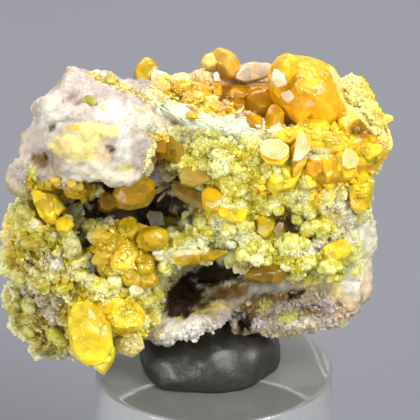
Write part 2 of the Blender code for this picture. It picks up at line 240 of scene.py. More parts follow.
def closed_rings(rings, tips):
    """Rings of points closed by a point on the axis at each end, at the tips' heights: quads between the
    rings and triangles at the ends."""
    count, around = rings.shape[:2]
    points = np.concatenate((rings.reshape(-1, 3), [(0.0, 0.0, tip) for tip in tips]))
    index = np.arange(count * around).reshape(count, around)
    after = np.roll(index, -1, axis=1)
    quads = np.stack((index[:-1], index[1:], after[1:], after[:-1]), axis=-1).reshape(-1, 4)
    first = np.full(around, len(points) - 2)
    last = np.full(around, len(points) - 1)
    triangles = np.concatenate(
        (np.stack((first, index[0], after[0]), axis=-1), np.stack((last, after[-1], index[-1]), axis=-1))
    )
    return points, triangles, quads


def ball_grid(rows, columns):
    """Unit directions over a ball, in rings between two poles."""
    polar = np.pi * np.arange(1, rows) / rows
    around = 2.0 * np.pi * np.arange(columns) / columns
    ring, spoke = np.meshgrid(polar, around, indexing="ij")
    rings = np.stack((np.sin(ring) * np.cos(spoke), np.sin(ring) * np.sin(spoke), np.cos(ring)), axis=-1)
    return closed_rings(rings, (1.0, -1.0))


def cut_form(sides, profile, tips=None):
    """A crystal with flat faces: a profile of (reach, height) pairs carried round an axis in a few
    steps, closed at the tips' heights or level with the profile's ends."""
    around = 2.0 * np.pi * (np.arange(sides) + 0.5) / sides
    reach, height = np.array(profile, float).T
    right, back = np.outer(reach, np.cos(around)), np.outer(reach, np.sin(around))
    rings = np.stack((right, back, np.outer(height, np.ones(sides))), axis=-1)
    return closed_rings(rings, tips or (height[0], height[-1]))


def joined(shapes):
    """One set of points, triangles and quads from many."""
    starts = np.concatenate(([0], np.cumsum([len(shape[0]) for shape in shapes])[:-1]))
    points = np.concatenate([shape[0] for shape in shapes])
    triangles = np.concatenate([shape[1] + start for shape, start in zip(shapes, starts)])
    quads = np.concatenate([shape[2] + start for shape, start in zip(shapes, starts)])
    return points, triangles, quads


def copies(shape, centres, frames):
    """A shape set down many times: each copy's points are turned and sized by its own 3 x 3 frame."""
    points, triangles, quads = shape
    count = len(centres)
    placed = np.einsum("nij,vj->nvi", frames, points) + centres[:, None, :]
    steps = (np.arange(count) * len(points))[:, None, None]
    return placed.reshape(-1, 3), (triangles + steps).reshape(-1, 3), (quads + steps).reshape(-1, 4)


def make_piece(name, shape, material, tone, sparkle=0.0, flat=None, clearness=0.0, facets=0.0):
    """A piece from points in millimetres and faces, with its colour and shares of finish on every point.
    Faces of points marked flat keep their edges."""
    points, triangles, quads = shape[:3]
    mesh = bpy.data.meshes.new(name)
    mesh.vertices.add(len(points))
    mesh.vertices.foreach_set("co", (points * MM).astype(np.float32).ravel())
    corners = np.concatenate((triangles.ravel(), quads.ravel())).astype(np.int32)
    sizes = np.concatenate((np.full(len(triangles), 3), np.full(len(quads), 4)))
    starts = np.concatenate(([0], np.cumsum(sizes)[:-1])).astype(np.int32)
    mesh.loops.add(len(corners))
    mesh.loops.foreach_set("vertex_index", corners)
    mesh.polygons.add(len(sizes))
    mesh.polygons.foreach_set("loop_start", starts)
    mesh.update(calc_edges=True)
    mesh.shade_smooth()
    if flat is not None:
        mesh.polygons.foreach_set("use_smooth", ~flat[corners[starts]])
    tones = np.ones((len(points), 4), np.float32)
    tones[:, :3] = tone
    mesh.attributes.new("tone", "FLOAT_COLOR", "POINT").data.foreach_set("color", tones.ravel())
    for title, values in (("sparkle", sparkle), ("clearness", clearness), ("facets", facets)):
        each = np.zeros(len(points), np.float32)
        each[:] = values
        mesh.attributes.new(title, "FLOAT", "POINT").data.foreach_set("value", each)
    mesh.materials.append(material)
    obj = bpy.data.objects.new(name, mesh)
    bpy.context.scene.collection.objects.link(obj)
    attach(obj, "root")
    return obj


def read_values(items, key, width, kind):
    """One array of a value that each of a mesh's items holds."""
    values = np.empty(len(items) * width, kind)
    items.foreach_get(key, values)
    return values


def read_skin(mesh):
    """A mesh's points in millimetres, its triangles and quads, and the way each point faces."""
    points = read_values(mesh.vertices, "co", 3, np.float32).reshape(-1, 3).astype(float) / MM
    normals = read_values(mesh.vertices, "normal", 3, np.float32).reshape(-1, 3).astype(float)
    corners = read_values(mesh.loops, "vertex_index", 1, np.int32)
    starts = read_values(mesh.polygons, "loop_start", 1, np.int32)
    sizes = np.diff(np.append(starts, len(corners)))
    triangles, quads = (corners[starts[sizes == count][:, None] + np.arange(count)] for count in (3, 4))
    return Skin(points, triangles, quads, normals)


def fused_skin(frame, node, voxel):
    """An even skin over a copy of a CAD node: a voxel remesh of it."""
    work = bmesh.new()
    work.from_mesh(frame["nodes"][node].data)
    bmesh.ops.remove_doubles(work, verts=work.verts, dist=MERGE_DISTANCE)
    mesh = bpy.data.meshes.new("fusing")
    work.to_mesh(mesh)
    work.free()
    obj = bpy.data.objects.new("fusing", mesh)
    bpy.context.scene.collection.objects.link(obj)
    remesh = obj.modifiers.new("even skin", "REMESH")
    remesh.mode = "VOXEL"
    remesh.voxel_size = voxel * MM
    graph = bpy.context.evaluated_depsgraph_get()
    skin = read_skin(bpy.data.meshes.new_from_object(obj.evaluated_get(graph)))
    bpy.data.objects.remove(obj, do_unlink=True)
    return skin


def raised(skin, height):
    """The skin with each point moved out along its normal."""
    return skin._replace(points=skin.points + skin.normals * height[:, None])


def skin_of(shape):
    """A shape as a skin: each point faces the sum of its faces' own ways, weighted by their areas."""
    points, triangles, quads = shape
    ways = np.zeros_like(points)
    for faces, (start, middle, end) in ((triangles, (0, 1, 2)), (quads, (0, 1, 2)), (quads, (0, 2, 3))):
        corners = points[faces[:, (start, middle, end)]]
        way = np.cross(corners[:, 1] - corners[:, 0], corners[:, 2] - corners[:, 0])
        for corner in (start, middle, end):
            np.add.at(ways, faces[:, corner], way)
    length = np.linalg.norm(ways, axis=1)[:, None]
    return Skin(points, triangles, quads, ways / np.maximum(length, 1e-12))


# The ground that small crystals sit on

Ground = namedtuple("Ground", "tree points faces tones sparkles")
Seats = namedtuple("Seats", "points ways tones sparkles")


def ground_of(parts):
    """What small crystals can sit on: the parts' faces as triangles, with the tone and sparkle of their
    points."""
    points, triangles, quads = joined([skin[:3] for skin, _, _ in parts])
    faces = np.concatenate((triangles, quads[:, (0, 1, 2)], quads[:, (0, 2, 3)]))
    tree = BVHTree.FromPolygons(points.tolist(), faces.tolist())
    tones, sparkles = (np.concatenate([part[k] for part in parts]) for k in (1, 2))
    return Ground(tree, points, faces, tones, sparkles)


def seats(ground, places):
    """Where the lines of sight through the places meet the ground, the way it faces there, its tone and
    its sparkle."""
    found = [ground.tree.ray_cast(Vector(EYE), Vector(line)) for line in sight(places)]
    met = [hit for hit in found if hit[0] is not None]
    corner = ground.faces[[hit[2] for hit in met], 0]
    points = np.array([hit[0][:] for hit in met])
    ways = np.array([hit[1][:] for hit in met])
    ways *= np.where(ways @ TOWARD < 0.0, -1.0, 1.0)[:, None]
    return Seats(points, ways, ground.tones[corner], ground.sparkles[corner])


# Rock and crust

# Voxels of the even skins, and how far the crusts' backs reach into the rock
ROCK_GRAIN = 0.14
CRUST_GRAIN = 0.12
CRUST_ROOT = 0.45
# Painted shade and highlight from a relief: what a crust's deepest hollows keep of its colour, and the tone
# that its tops go towards
CREVICE_SHADE_TINT = np.array((0.82, 0.7, 0.08))
TIP_HIGHLIGHT_TONE = np.array((0.9, 0.92, 0.62))
TIP_HIGHLIGHT_SHARE = 0.5
# Painted shade: what the rock's deepest hollows keep of its colour
ROCK_SHADE_TINT = np.array((0.7, 0.62, 0.52))
# The rock's relief in mm: its broken facets as (height, grain, seed, lift), how rough it is between them,
# how far it stands out, and how much the ledge is broken and roughened on top of that
ROCK_CHIPS = ((0.34, 1.7, 3, 0.1), (0.24, 0.75, 17, 0.0), (0.16, 0.33, 29, 0.0))
ROCK_ROUGHNESS = 0.14
ROCK_LIFT = 0.07
LEDGE_CHIPS = 0.42
LEDGE_ROUGHNESS = 0.16
# Heights between which the rock becomes the crumbled ledge
LEDGE_TOP = (19.5, 17.5)
# The crusts' relief in mm: the heights of their half balls from the largest to the smallest, how deep their
# gaps are and how high the drusy grain is
CRUST_KNOBS = (0.6, 0.36, 0.1)
CRUST_GAPS = 0.42
DRUSE_HEIGHT = 0.07

# Stains, painted shade and painted highlights on the specimen's face, laid over one another in this order:
# (what it is, right and down, half width and half height in the view, colour, sparkle, turn in degrees)
STAINS_SHADE_AND_HIGHLIGHTS = (
    # The block at the upper left
    ("whole", 85, 130, 80, 62, "pink white", 0.15),
    ("top left shoulder", 52, 112, 16, 16, "chalk", 0.2),
    ("peak", 80, 84, 22, 14, "pink white", 0.35, -20),
    ("white lumps", 52, 112, 15, 10, "chalk", 0.3),
    ("mint crest", 112, 84, 24, 6, "mint", 0.4, 30),
    ("band under the golden line", 118, 96, 30, 9, "lilac", 0.25, 22),
    ("smooth face", 110, 110, 14, 12, "pale pink", 0.0),
    ("straw band", 96, 130, 30, 8, "butter", 0.15, 4),
    ("butter stain", 80, 148, 25, 16, "butter", 0.15, 12),
    ("golden left part of the band", 74, 128, 8, 4, "old gold", 0.2),
    ("lemon heart of the stain", 88, 150, 7, 6, "straw", 0.1, 10),
    ("straw left of the stain", 58, 148, 11, 9, "straw", 0.2),
    # Painted highlight, partly the rock's own white: the ridge and its foot are painted chalk where the
    # light catches them
    ("white ridge", 126, 134, 7, 34, "chalk", 0.3, 6),
    ("white foot of the ridge", 122, 148, 9, 11, "chalk", 0.2),
    ("right face", 142, 144, 12, 18, "pink white", 0.1, -20),
    ("peach patch", 104, 156, 7, 9, "peach", 0.0),
    ("brown blotch", 44, 160, 15, 12, "grey", 0.0, 20),
    ("heart of the blotch", 42, 161, 11, 8, "brown", 0.0, 20),
    ("lower edge", 98, 174, 46, 12, "cream", 0.1),
    ("lemon fleck at the lower edge", 129, 168, 7, 4, "butter", 0.1, 15),
    # Painted shade: the pits, the grey hollow and the dark spot are darkened where they sink in
    ("pit", 52, 128, 3, 3, "umber", 0.0),
    ("pit by the groove", 85, 113, 2, 2, "grey", 0.0),
    ("grey hollow", 71, 99, 8, 5, "grey", 0.0),
    ("dark spot", 112, 149, 4, 2.5, "umber", 0.0),
    ("golden line", 112, 83, 30, 4, "straw", 0.6, 22),
    ("straw and gold drusy slope", 150, 124, 22, 13, "cream", 0.6, 24),
    ("serrated lime edge", 150, 155, 3, 18, "pale lime", 0.8, 22),
    ("golden clumps", 160, 138, 10, 4, "straw", 0.8, 20),
    ("knob", 22, 176, 14, 15, "pink white", 0.6),
    ("knob's golden side", 31, 178, 6, 12, "leaf", 1.0),
    # The green wall
    ("whole", 255, 178, 95, 52, "lime", 0.8, 10),
    ("leaf patch on the left", 215, 145, 34, 18, "leaf", 0.9, 5),
    ("amber gap under the slope", 166, 152, 13, 11, "dull amber", 0.2, 20),
    # Painted shade in the dark gap under the slope
    ("dark gap under the slope", 158, 160, 8, 8, "brown", 0.0),
    ("pale patch", 222, 160, 12, 9, "mint", 1.0),
    ("yellow patch under the hexagonal tablet", 282, 180, 26, 10, "golden", 0.5, -20),
    ("golden patch", 205, 168, 18, 8, "leaf", 0.8),
    ("lime lumps", 300, 195, 30, 14, "pale lime", 1.0, -10),
    ("white crest on the right", 342, 198, 14, 24, "pale lime", 1.0, -20),
    ("gold pocket", 326, 192, 10, 9, "golden", 0.8),
    ("white and yellow corner", 335, 215, 22, 14, "pale lime", 1.0),
    # The ridge between the top crystals and the green wall
    ("drusy gold beside the thumb", 165, 100, 18, 8, "golden", 1.0, 20),
    ("mint fibres", 178, 112, 30, 9, "mint white", 0.7, 28),
    ("mint fibres on the right", 238, 124, 44, 12, "mint white", 0.8, 12),
    ("straw right end", 272, 136, 16, 7, "straw", 0.8, 15),
    ("seat of the honey crystals", 240, 102, 40, 12, "honey", 0.3),
    ("seat of the pale crystals", 196, 88, 34, 10, "straw", 0.3, 10),
    # The right edge
    ("right wall", 356, 240, 20, 56, "chalk", 0.1),
    # The right wall
    ("cream", 346, 215, 12, 14, "cream", 0.5),
    ("white patch", 350, 282, 14, 16, "chalk", 0.15),
    ("far edge", 374, 248, 12, 44, "cream", 0.1),
    ("white corner", 340, 214, 12, 16, "chalk", 0.6, -10),
    ("peach edge", 368, 286, 8, 14, "peach", 0.0),
    # The shelf
    ("whole", 300, 258, 68, 26, "lime", 0.8),
    # Painted shade at the shelf's dark back
    ("dark back", 290, 222, 18, 14, "brown", 0.1),
    ("white line", 326, 243, 36, 7, "chalk", 1.0, -22),
    # Painted shade in the shelf's gap
    ("dark gap", 324, 247, 12, 4, "umber", 0.0, -20),
    ("golden end", 338, 250, 16, 12, "lemon", 0.4),
    # The lower middle
    ("whole", 222, 240, 34, 22, "mint", 0.9),
    ("left arm", 185, 252, 26, 12, "mint", 1.0, -25),
    ("golden lower edge", 196, 260, 30, 6, "golden", 0.6, -15),
    # Painted shade under the arc
    ("under the arc", 216, 274, 34, 12, "umber", 0.0, -8),
    # The ledge
    # Painted shade at the back of the ledge, grey and brown
    ("grey back", 254, 292, 44, 12, "grey", 0.1, -8),
    ("dark back", 232, 292, 22, 9, "brown", 0.0, -12),
    ("whole", 292, 312, 66, 26, "drab", 0.2, -4),
    ("brown streaks", 270, 300, 30, 6, "brown", 0.1, -6),
    ("olive crumbs", 262, 306, 12, 6, "moss", 0.3, -20),
    ("pale crumbs", 304, 322, 22, 5, "cream", 0.3, -8),
    ("grey crumbs", 330, 318, 16, 8, "lilac", 0.2, -12),
    ("brown grey middle", 300, 305, 30, 8, "grey", 0.1, -6),
    ("peach", 345, 306, 14, 12, "peach", 0.05),
    ("leaf patch", 290, 314, 13, 8, "moss", 0.4, -8),
    ("brown middle", 318, 308, 14, 6, "brown", 0.1, -20),
    ("pink right part", 328, 304, 16, 7, "lilac", 0.3, -10),
    ("dark left end", 252, 312, 8, 10, "brown", 0.1),
    ("lilac grains", 260, 324, 14, 7, "lilac", 0.4),
    # Painted shade in the dark seam and the dark nick
    ("dark seam", 298, 294, 12, 4, "umber", 0.0, -25),
    ("dark nick", 244, 328, 10, 16, "umber", 0.0),
    ("pale band", 190, 328, 46, 13, "chalk", 0.4, -14),
    ("pale band, grey end", 222, 314, 10, 8, "lilac", 0.3),
    ("pale band, brown foot", 190, 346, 22, 6, "brown", 0.0, -8),
    # The left mass
    ("whole", 58, 290, 64, 72, "moss", 0.6),
    ("pale top", 26, 222, 14, 18, "lime", 0.6),
    ("olive lump", 34, 242, 14, 9, "olive", 0.2),
    ("pale lump", 72, 252, 14, 12, "lime", 0.6),
    ("white crystals", 52, 262, 11, 11, "chalk", 1.0),
    ("olive tab", 14, 262, 14, 7, "olive", 0.2),
    ("lilac rock", 50, 318, 18, 22, "lilac", 0.3, -10),
    ("upper lilac", 34, 298, 16, 10, "grey", 0.2, 30),
    ("brown right of the rock", 58, 306, 8, 14, "drab", 0.1),
    ("lower olive", 36, 330, 22, 16, "olive", 0.4, 30),
    ("lilac fleck", 9, 290, 4, 6, "lilac", 0.2),
    ("golden lump", 66, 284, 12, 9, "golden", 0.3),
    # Painted shade in the gaps of the left mass
    ("umber gap", 92, 266, 6, 13, "umber", 0.0, 10),
    ("gap below the pendant", 82, 226, 7, 22, "umber", 0.0, -8),
    ("brown gap", 30, 264, 5, 7, "brown", 0.0),
    ("gap by the lemon", 65, 334, 3, 16, "brown", 0.0),
    ("lower lilac edge", 54, 358, 24, 6, "grey", 0.2),
    # The middle
    ("yellow cluster", 130, 250, 32, 34, "cluster gold", 0.6, 20),
    ("pale lime lumps", 165, 276, 18, 20, "pale lime", 0.8, 20),
    ("leaf lumps", 152, 300, 14, 14, "leaf", 0.7),
    ("lemon mass", 96, 325, 34, 42, "lemon", 0.7),
    ("lemon mass, pale top", 112, 298, 26, 12, "pale lime", 1.0),
    ("lemon mass, pale lower right", 130, 344, 16, 12, "pale lime", 0.6),
)
# The same for what lies behind the block's front and the arc, mostly painted shade: the large hollow and the
# lower one
HOLLOW_FRONT = (-3.7, -3.0)
HOLLOW_SHADE_AND_STAINS = (
    # Painted shade: the large hollow and its left gap
    ("large hollow", 136, 202, 82, 34, "umber", 0.05),
    ("left gap", 80, 214, 14, 30, "umber", 0.0),
    ("grey roof", 158, 178, 12, 8, "grey", 0.3),
    ("leaf floor", 172, 226, 10, 10, "olive", 0.1),
    ("grey lump", 70, 198, 8, 6, "lilac", 0.3),
    ("brown right end", 196, 206, 10, 10, "brown", 0.2, 30),
    # Painted shade in the lower hollow and on its floor
    ("lower hollow", 186, 298, 20, 24, "umber", 0.0),
    ("lower hollow, brown floor", 202, 306, 12, 6, "brown", 0.0),
)
# The same for the crystals, among them a painted highlight
CRYSTAL_STAINS_AND_HIGHLIGHT = (
    # The big crystal
    ("golden druse", 311, 82, 18, 14, "yolk", 0.2, 35),
    ("druse's heart", 318, 90, 8, 6, "straw", 0.3),
    ("smooth band", 333, 96, 7, 26, "deep orange", 0.0, -20),
    # Painted highlight: a pale line along the big crystal's lit edge
    ("bright edge", 340, 90, 3, 22, "pale wulfenite", 0.2, -24),
    ("orange front", 312, 110, 22, 11, "deep orange", 0.0, 5),
    ("yellow lower rim", 312, 127, 26, 6, "yolk", 0.0, 6),
    ("top edge", 300, 57, 26, 4, "yolk", 0.0, 12),
    ("thumb's wing, white druse", 158, 71, 6, 6, "cream", 0.4),
    ("right stub, white top", 232, 205, 14, 6, "mint white", 0.6, 8),
    ("heart, orange lower left", 110, 318, 10, 10, "yolk", 0.0),
    ("plate, white inner edge", 357, 104, 6, 38, "pale lime", 0.15, -34),
    ("plate, yellow outer edge", 374, 100, 5, 34, "golden", 0.1, -30),
    ("arc's rim, mint top", 192, 250, 28, 5, "mint", 0.4, -8),
    ("row, white crest", 318, 154, 12, 6, "pale lime", 0.3),
    ("right mass, brown window", 360, 130, 9, 9, "brown amber", 0.0),
    ("right mass, dark gold", 364, 152, 10, 8, "golden", 0.1),
)
# How far a surface has to face the view, as a cosine, to take the stains and painted marks, to be carved and
# to have no root
FACING_MARKED = (-0.25, 0.15)
FACING_CARVED = (-0.1, 0.3)
FACING_ROOTLESS = (0.1, -0.5)
# How soft the edge of a stain and of a painted mark is, and how far noise pushes it in and out
MARK_EDGE = (0.74, 1.08)
MARK_WANDER = 0.27
MARK_GRAIN = 0.9
# Ridges and grooves of the rock's face: (what it is, line in the view, width there, height in mm, power)
CARVINGS = (
    # The block
    ("white ridge", ((118, 93), (126, 108), (131, 122), (124, 140), (122, 160)), 5, 0.55, 1),
    ("groove right of the ridge", ((134, 122), (142, 129), (151, 135)), 3, -0.5, 1),
    ("shoulder", ((44, 112), (58, 114)), 9, 0.5, 2),
    ("step below the shoulder", ((56, 124), (76, 121), (92, 119), (112, 124), (128, 127)), 3, -0.4, 1),
    ("edge of the smooth face", ((94, 98), (112, 95), (124, 103)), 3, 0.3, 1),
    ("hollow beside the face", ((92, 104), (96, 116)), 5, -0.4, 2),
    ("crease under the golden line", ((92, 76), (106, 82), (118, 88), (138, 96)), 2.5, -0.4, 1),
    ("pit", ((52, 128),), 3, -0.7, 2),
    ("dark spot", ((108, 149), (114, 150)), 3, -0.8, 2),
    ("brown hollow", ((38, 156), (50, 166)), 8, -0.7, 2),
    ("grey hollow", ((66, 99), (76, 102)), 4, -0.5, 2),
    ("left lump", ((62, 140), (80, 150)), 12, 0.35, 2),
    ("lower lump", ((96, 168),), 12, 0.3, 2),
    ("peak", ((72, 76), (84, 82)), 7, 0.35, 2),
    ("upper white lump", ((50, 108), (56, 106)), 7, 0.45, 2),
    ("gap between the lumps", ((46, 116), (60, 115), (66, 119)), 2, -0.45, 1),
    ("lump above the band", ((82, 112), (94, 112)), 5, 0.4, 2),
    ("chin", ((110, 176), (128, 178)), 7, 0.35, 2),
    # The mint ridge
    ("left", ((148, 98), (162, 106), (178, 118), (194, 127)), 5, 0.6, 1),
    ("gap", ((172, 122), (186, 125), (196, 126)), 3, -0.6, 1),
    ("right", ((198, 123), (212, 115), (232, 116), (252, 123), (272, 132)), 5, 0.6, 1),
    ("drusy slope", ((140, 118), (160, 128)), 9, 0.3, 2),
    # The ledge
    ("upper seam", ((256, 300), (285, 296), (305, 291), (330, 286)), 4, -0.6, 1),
    ("lower seam", ((262, 318), (290, 312), (320, 306)), 3, -0.3, 1),
    ("front edge", ((270, 308), (300, 302), (335, 296)), 4, 0.4, 1),
    ("pale band", ((152, 342), (178, 331), (210, 319)), 6, 0.7, 2),
    ("dark nick", ((240, 316), (246, 338)), 6, -0.7, 2),
    ("right wall, edge", ((352, 262), (356, 285), (350, 305)), 4, 0.5, 1),
    ("right wall, hollow", ((364, 262), (366, 290)), 6, -0.4, 2),
)
# The same for the crusts
CRUST_CARVINGS = (
    ("gap below the pendant", ((80, 208), (82, 228), (86, 246)), 6, -1.1, 2),
    ("gap by the cluster", ((90, 256), (94, 276)), 6, -1.1, 2),
    ("gap behind the white crystals", ((26, 258), (34, 270)), 4, -0.7, 2),
    ("gap above the lilac rock", ((58, 298), (66, 312)), 4, -0.6, 2),
    ("gap between the olive crystals", ((40, 326), (44, 344)), 4, -0.7, 2),
    ("gap beside the lemon", ((64, 320), (66, 350)), 4, -0.6, 2),
    ("gap left of the lumps", ((14, 282), (20, 298)), 4, -0.5, 2),
    ("shelf, gap", ((316, 249), (334, 241)), 3, -0.9, 2),
    ("shelf, bay", ((250, 268), (262, 262)), 4, -0.5, 2),
    ("wall, bay on the left", ((196, 160), (204, 158)), 5, -0.5, 2),
)
# Rock and crust away from the face: (colour, sparkle)
ROCK_ALL_ROUND = (("pink white", 0.1), ("cream", 0.2), ("grey", 0.1), ("straw", 0.6), ("drab", 0.1))
CRUST_ALL_ROUND = (("lime", 0.8), ("leaf", 0.7), ("pale lime", 0.9), ("golden", 0.6))
# The grain of the patches, how far noise pushes them about, its grain, and how sharply they part
ALL_ROUND_GRAIN = 3.2
ALL_ROUND_PUSH = 1.4
ALL_ROUND_PUSH_GRAIN = 2.1
ALL_ROUND_CONTRAST = 7.0


def all_round(points, kinds, seed):
    """Colours and sparkle from broad patches of noise, pushed about by more noise: each kind shows where
    its own is highest."""
    moved = points + ALL_ROUND_PUSH * wander(points, ALL_ROUND_PUSH_GRAIN, range(seed + 301, seed + 304))
    layers = np.stack([rough(moved, ALL_ROUND_GRAIN, seed + 31 * k, 5, 0.6) for k in range(len(kinds))])
    shares = np.exp(ALL_ROUND_CONTRAST * (layers - layers.max(axis=0)))
    shares /= shares.sum(axis=0)
    tones = np.stack([linear(name) for name, _ in kinds])
    return shares.T @ tones, shares.T @ np.array([sparkle for _, sparkle in kinds])


def overlaid(points, facing, tone, sparkle, rows):
    """Colour and sparkle with stains, painted shade and painted highlights laid over them, each within its
    turned oval whose edge noise pushes in and out, where the surface faces forward."""
    places = in_view(points)
    edge = MARK_WANDER * rough(points, MARK_GRAIN, 76, 4, 0.8)
    for _, right, down, wide, high, colour, glitter, *turn in rows:
        cosine, sine = cosine_and_sine(*turn)
        across = places[:, 0] - right
        below = places[:, 1] - down
        along = (across * cosine + below * sine) / wide
        beside = (below * cosine - across * sine) / high
        share = 1.0 - smooth_step(*MARK_EDGE, np.hypot(along, beside) + edge)
        share *= facing
        tone = tone + share[:, None] * (linear(colour) - tone)
        sparkle = sparkle + share * (glitter - sparkle)
    return tone, sparkle


def stains_and_painted_light(skin, kinds, seed):
    """The colour and sparkle of each point: the patches all round, then the stains, painted shade and
    painted highlights of the face.
    """
    tone, sparkle = all_round(skin.points, kinds, seed)
    facing = smooth_step(*FACING_MARKED, skin.normals @ TOWARD)
    tone, sparkle = overlaid(skin.points, facing, tone, sparkle, STAINS_SHADE_AND_HIGHLIGHTS)
    behind = smooth_step(*HOLLOW_FRONT, skin.points[:, 1])
    return overlaid(skin.points, facing * behind, tone, sparkle, HOLLOW_SHADE_AND_STAINS)


# How far noise pushes a carving's line about in the view, and its grain
CARVING_PUSH = 1.6
CARVING_PUSH_GRAIN = 0.8


def off_line(places, line):
    """How far places of the view are from a line of them."""
    line = np.array(line, float)
    nearest = np.linalg.norm(places - line[0], axis=1)
    for start, end in zip(line[:-1], line[1:]):
        way = end - start
        share = np.clip((places - start) @ way / (way @ way), 0.0, 1.0)
        nearest = np.minimum(nearest, np.linalg.norm(places - start - share[:, None] * way, axis=1))
    return nearest


def carved(skin, rows):
    """Ridges and grooves in the face: a height that falls off as exp(-(distance / width) ** power), power
    1 for a sharp crest and 2 for a rounded swelling."""
    places = in_view(skin.points)
    facing = smooth_step(*FACING_CARVED, skin.normals @ TOWARD)
    places = places + CARVING_PUSH * wander(skin.points, CARVING_PUSH_GRAIN, (91, 92))
    height = np.zeros(len(places))
    for _, line, width, rise, power in rows:
        height += rise * np.exp(-((off_line(places, line) / width) ** power))
    return height * facing


def rock_relief(skin):
    """Broken facets of three sizes and a rough grain, rougher on the low ledge."""
    points = skin.points
    broken = sum(height * (chips(points, grain, seed) + lift) for height, grain, seed, lift in ROCK_CHIPS)
    low = smooth_step(*LEDGE_TOP, points[:, 2])
    crumbled = LEDGE_CHIPS * chips(points, 0.9, 37) + LEDGE_ROUGHNESS * rough(points, 0.7, 43, 3)
    return broken + ROCK_ROUGHNESS * rough(points, 0.45, 23, 3) + ROCK_LIFT + low * crumbled


def crust_relief(skin, ball):
    """Packed half balls of three sizes, the largest as wide as the ball, with a drusy grain, and a root
    that sinks the back into the rock."""
    points = skin.points
    large, middling, small = CRUST_KNOBS
    botryoids = large * knobs(points, ball, 41) + middling * knobs(points, 0.5 * ball, 57) - CRUST_GAPS
    botryoids += small * knobs(points, 0.25 * ball, 59)
    grain = DRUSE_HEIGHT * rough(points, 0.24, 63, 2)
    root = CRUST_ROOT * smooth_step(*FACING_ROOTLESS, skin.normals @ TOWARD)
    return botryoids + grain + root


def painted_relief_shade(tone, height, low, high, shade_tint=CREVICE_SHADE_TINT, tip_share=TIP_HIGHLIGHT_SHARE):
    """The tone with painted shade, richer and darker, in the hollows of a relief and a painted highlight,
    paler, on its tops.
    """
    share = smooth_step(low, high, height)[:, None]
    deep = tone * (shade_tint + (1.0 - shade_tint) * share)
    return deep + tip_share * share**2 * (TIP_HIGHLIGHT_TONE - deep)


def make_rock(frame, material):
    """The even skin of the rock, raised by its relief and its carvings, with its stains and with painted
    shade in its hollows.
    """
    skin = fused_skin(frame, "matrix", ROCK_GRAIN)
    relief = rock_relief(skin)
    skin = raised(skin, relief + carved(skin, CARVINGS))
    tone, sparkle = stains_and_painted_light(skin, ROCK_ALL_ROUND, 71)
    # Painted shade: the rock's hollows darkened by its relief
    tone = painted_relief_shade(tone, relief, -0.3, 0.1, ROCK_SHADE_TINT, 0.0)
    rock = make_piece("pale_rock", skin, material, tone, sparkle)
    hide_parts("matrix")
    return skin_of(skin[:3]), tone, sparkle


def make_crust(frame, node, name, material, seed, ball):
    """The even skin of a crust, raised by packed half balls of that size and its carvings, with its stains
    and with painted shade and highlight.
    """
    skin = fused_skin(frame, node, CRUST_GRAIN)
    relief = crust_relief(skin, ball)
    skin = raised(skin, relief + carved(skin, CRUST_CARVINGS))
    tone, sparkle = stains_and_painted_light(skin, CRUST_ALL_ROUND, seed)
    # Painted shade in the crust's hollows and a painted highlight on its tops
    tone = painted_relief_shade(tone, relief, -0.35, 0.35)
    crust = make_piece(name, skin, material, tone, sparkle)
    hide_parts(node)
    return skin_of(skin[:3]), tone, sparkle


# Crystals

# How far noise moves a crystal's faces, as a share of its size
CRYSTAL_WOBBLE = 0.012

STONE_VALUES = "name outline y thick lean faces sharpness tone sparkle young"
Stone = namedtuple("Stone", STONE_VALUES, defaults=(0.0, 0))
# Small faces that each stone gets by chance, and how far in they cut, as a share of its reach; those as
# sharp as a mirror get none
MIRROR_SHARPNESS = 28
STONE_CUTS = 7
STONE_CUT_DEPTH = (0.94, 1.04)
# How their ways out spread to the right, up and toward the view, and where they tend
STONE_CUT_SPREAD = (1.0, 1.0, 0.8)
STONE_CUT_WAY = (0.0, 0.2, 0.5)
# How round its edges are, and how many faces' worth of rounding is made up for
STONE_ROUNDING = 0.35
FACES_MEETING = 1.6
# A face that turns away from a direction by more than this is never reached
LEAST_COSINE = 1e-3
FAR = 1e3
# Rows of points over a stone: so many, and so many more for each millimetre of its reach
STONE_ROWS = (18, 12)
# Stones as sharp as this keep the edges between their flat faces
FLAT_SHARPNESS = 12
# How much an outline grows to make up for its rounded corners
OUTLINE_GROWTH = 1.08
# Small crystals on a stone: the least size and what chance adds, as shares of its reach, how uneven their
# sides are and how far they turn
YOUNG_LEAST = 0.04
YOUNG_MORE = 0.24
YOUNG_UNEVEN = (0.6, 1.4)
YOUNG_TURN = 1.2
# A stone's lightness: its middle's, the painted highlight that its rim adds, what noise adds at random, and
# what chance makes of the whole
STONE_LIGHT = 0.86
RIM_HIGHLIGHT = 0.2
NOISE_LIGHT = 0.08
STONE_CHANCE = (0.94, 1.06)
# Shares of its reach between which its painted rim highlight begins
RIM_HIGHLIGHT_REACH = (0.6, 1.0)
# How clear the crystals of a colour are, and how clear the others are
CLEARNESS = {
    "honey": 0.2, "brown amber": 0.35, "deep orange": 0.2, "old gold": 0.1, "thumb amber": 0.15,
    "bead amber": 0.3, "cluster gold": 0.2, "dull amber": 0.35, "ghost": 0.55, "smoke": 0.5,
    "grey glass": 0.5, "orange": 0.12,
}
LEAST_CLEARNESS = 0.1


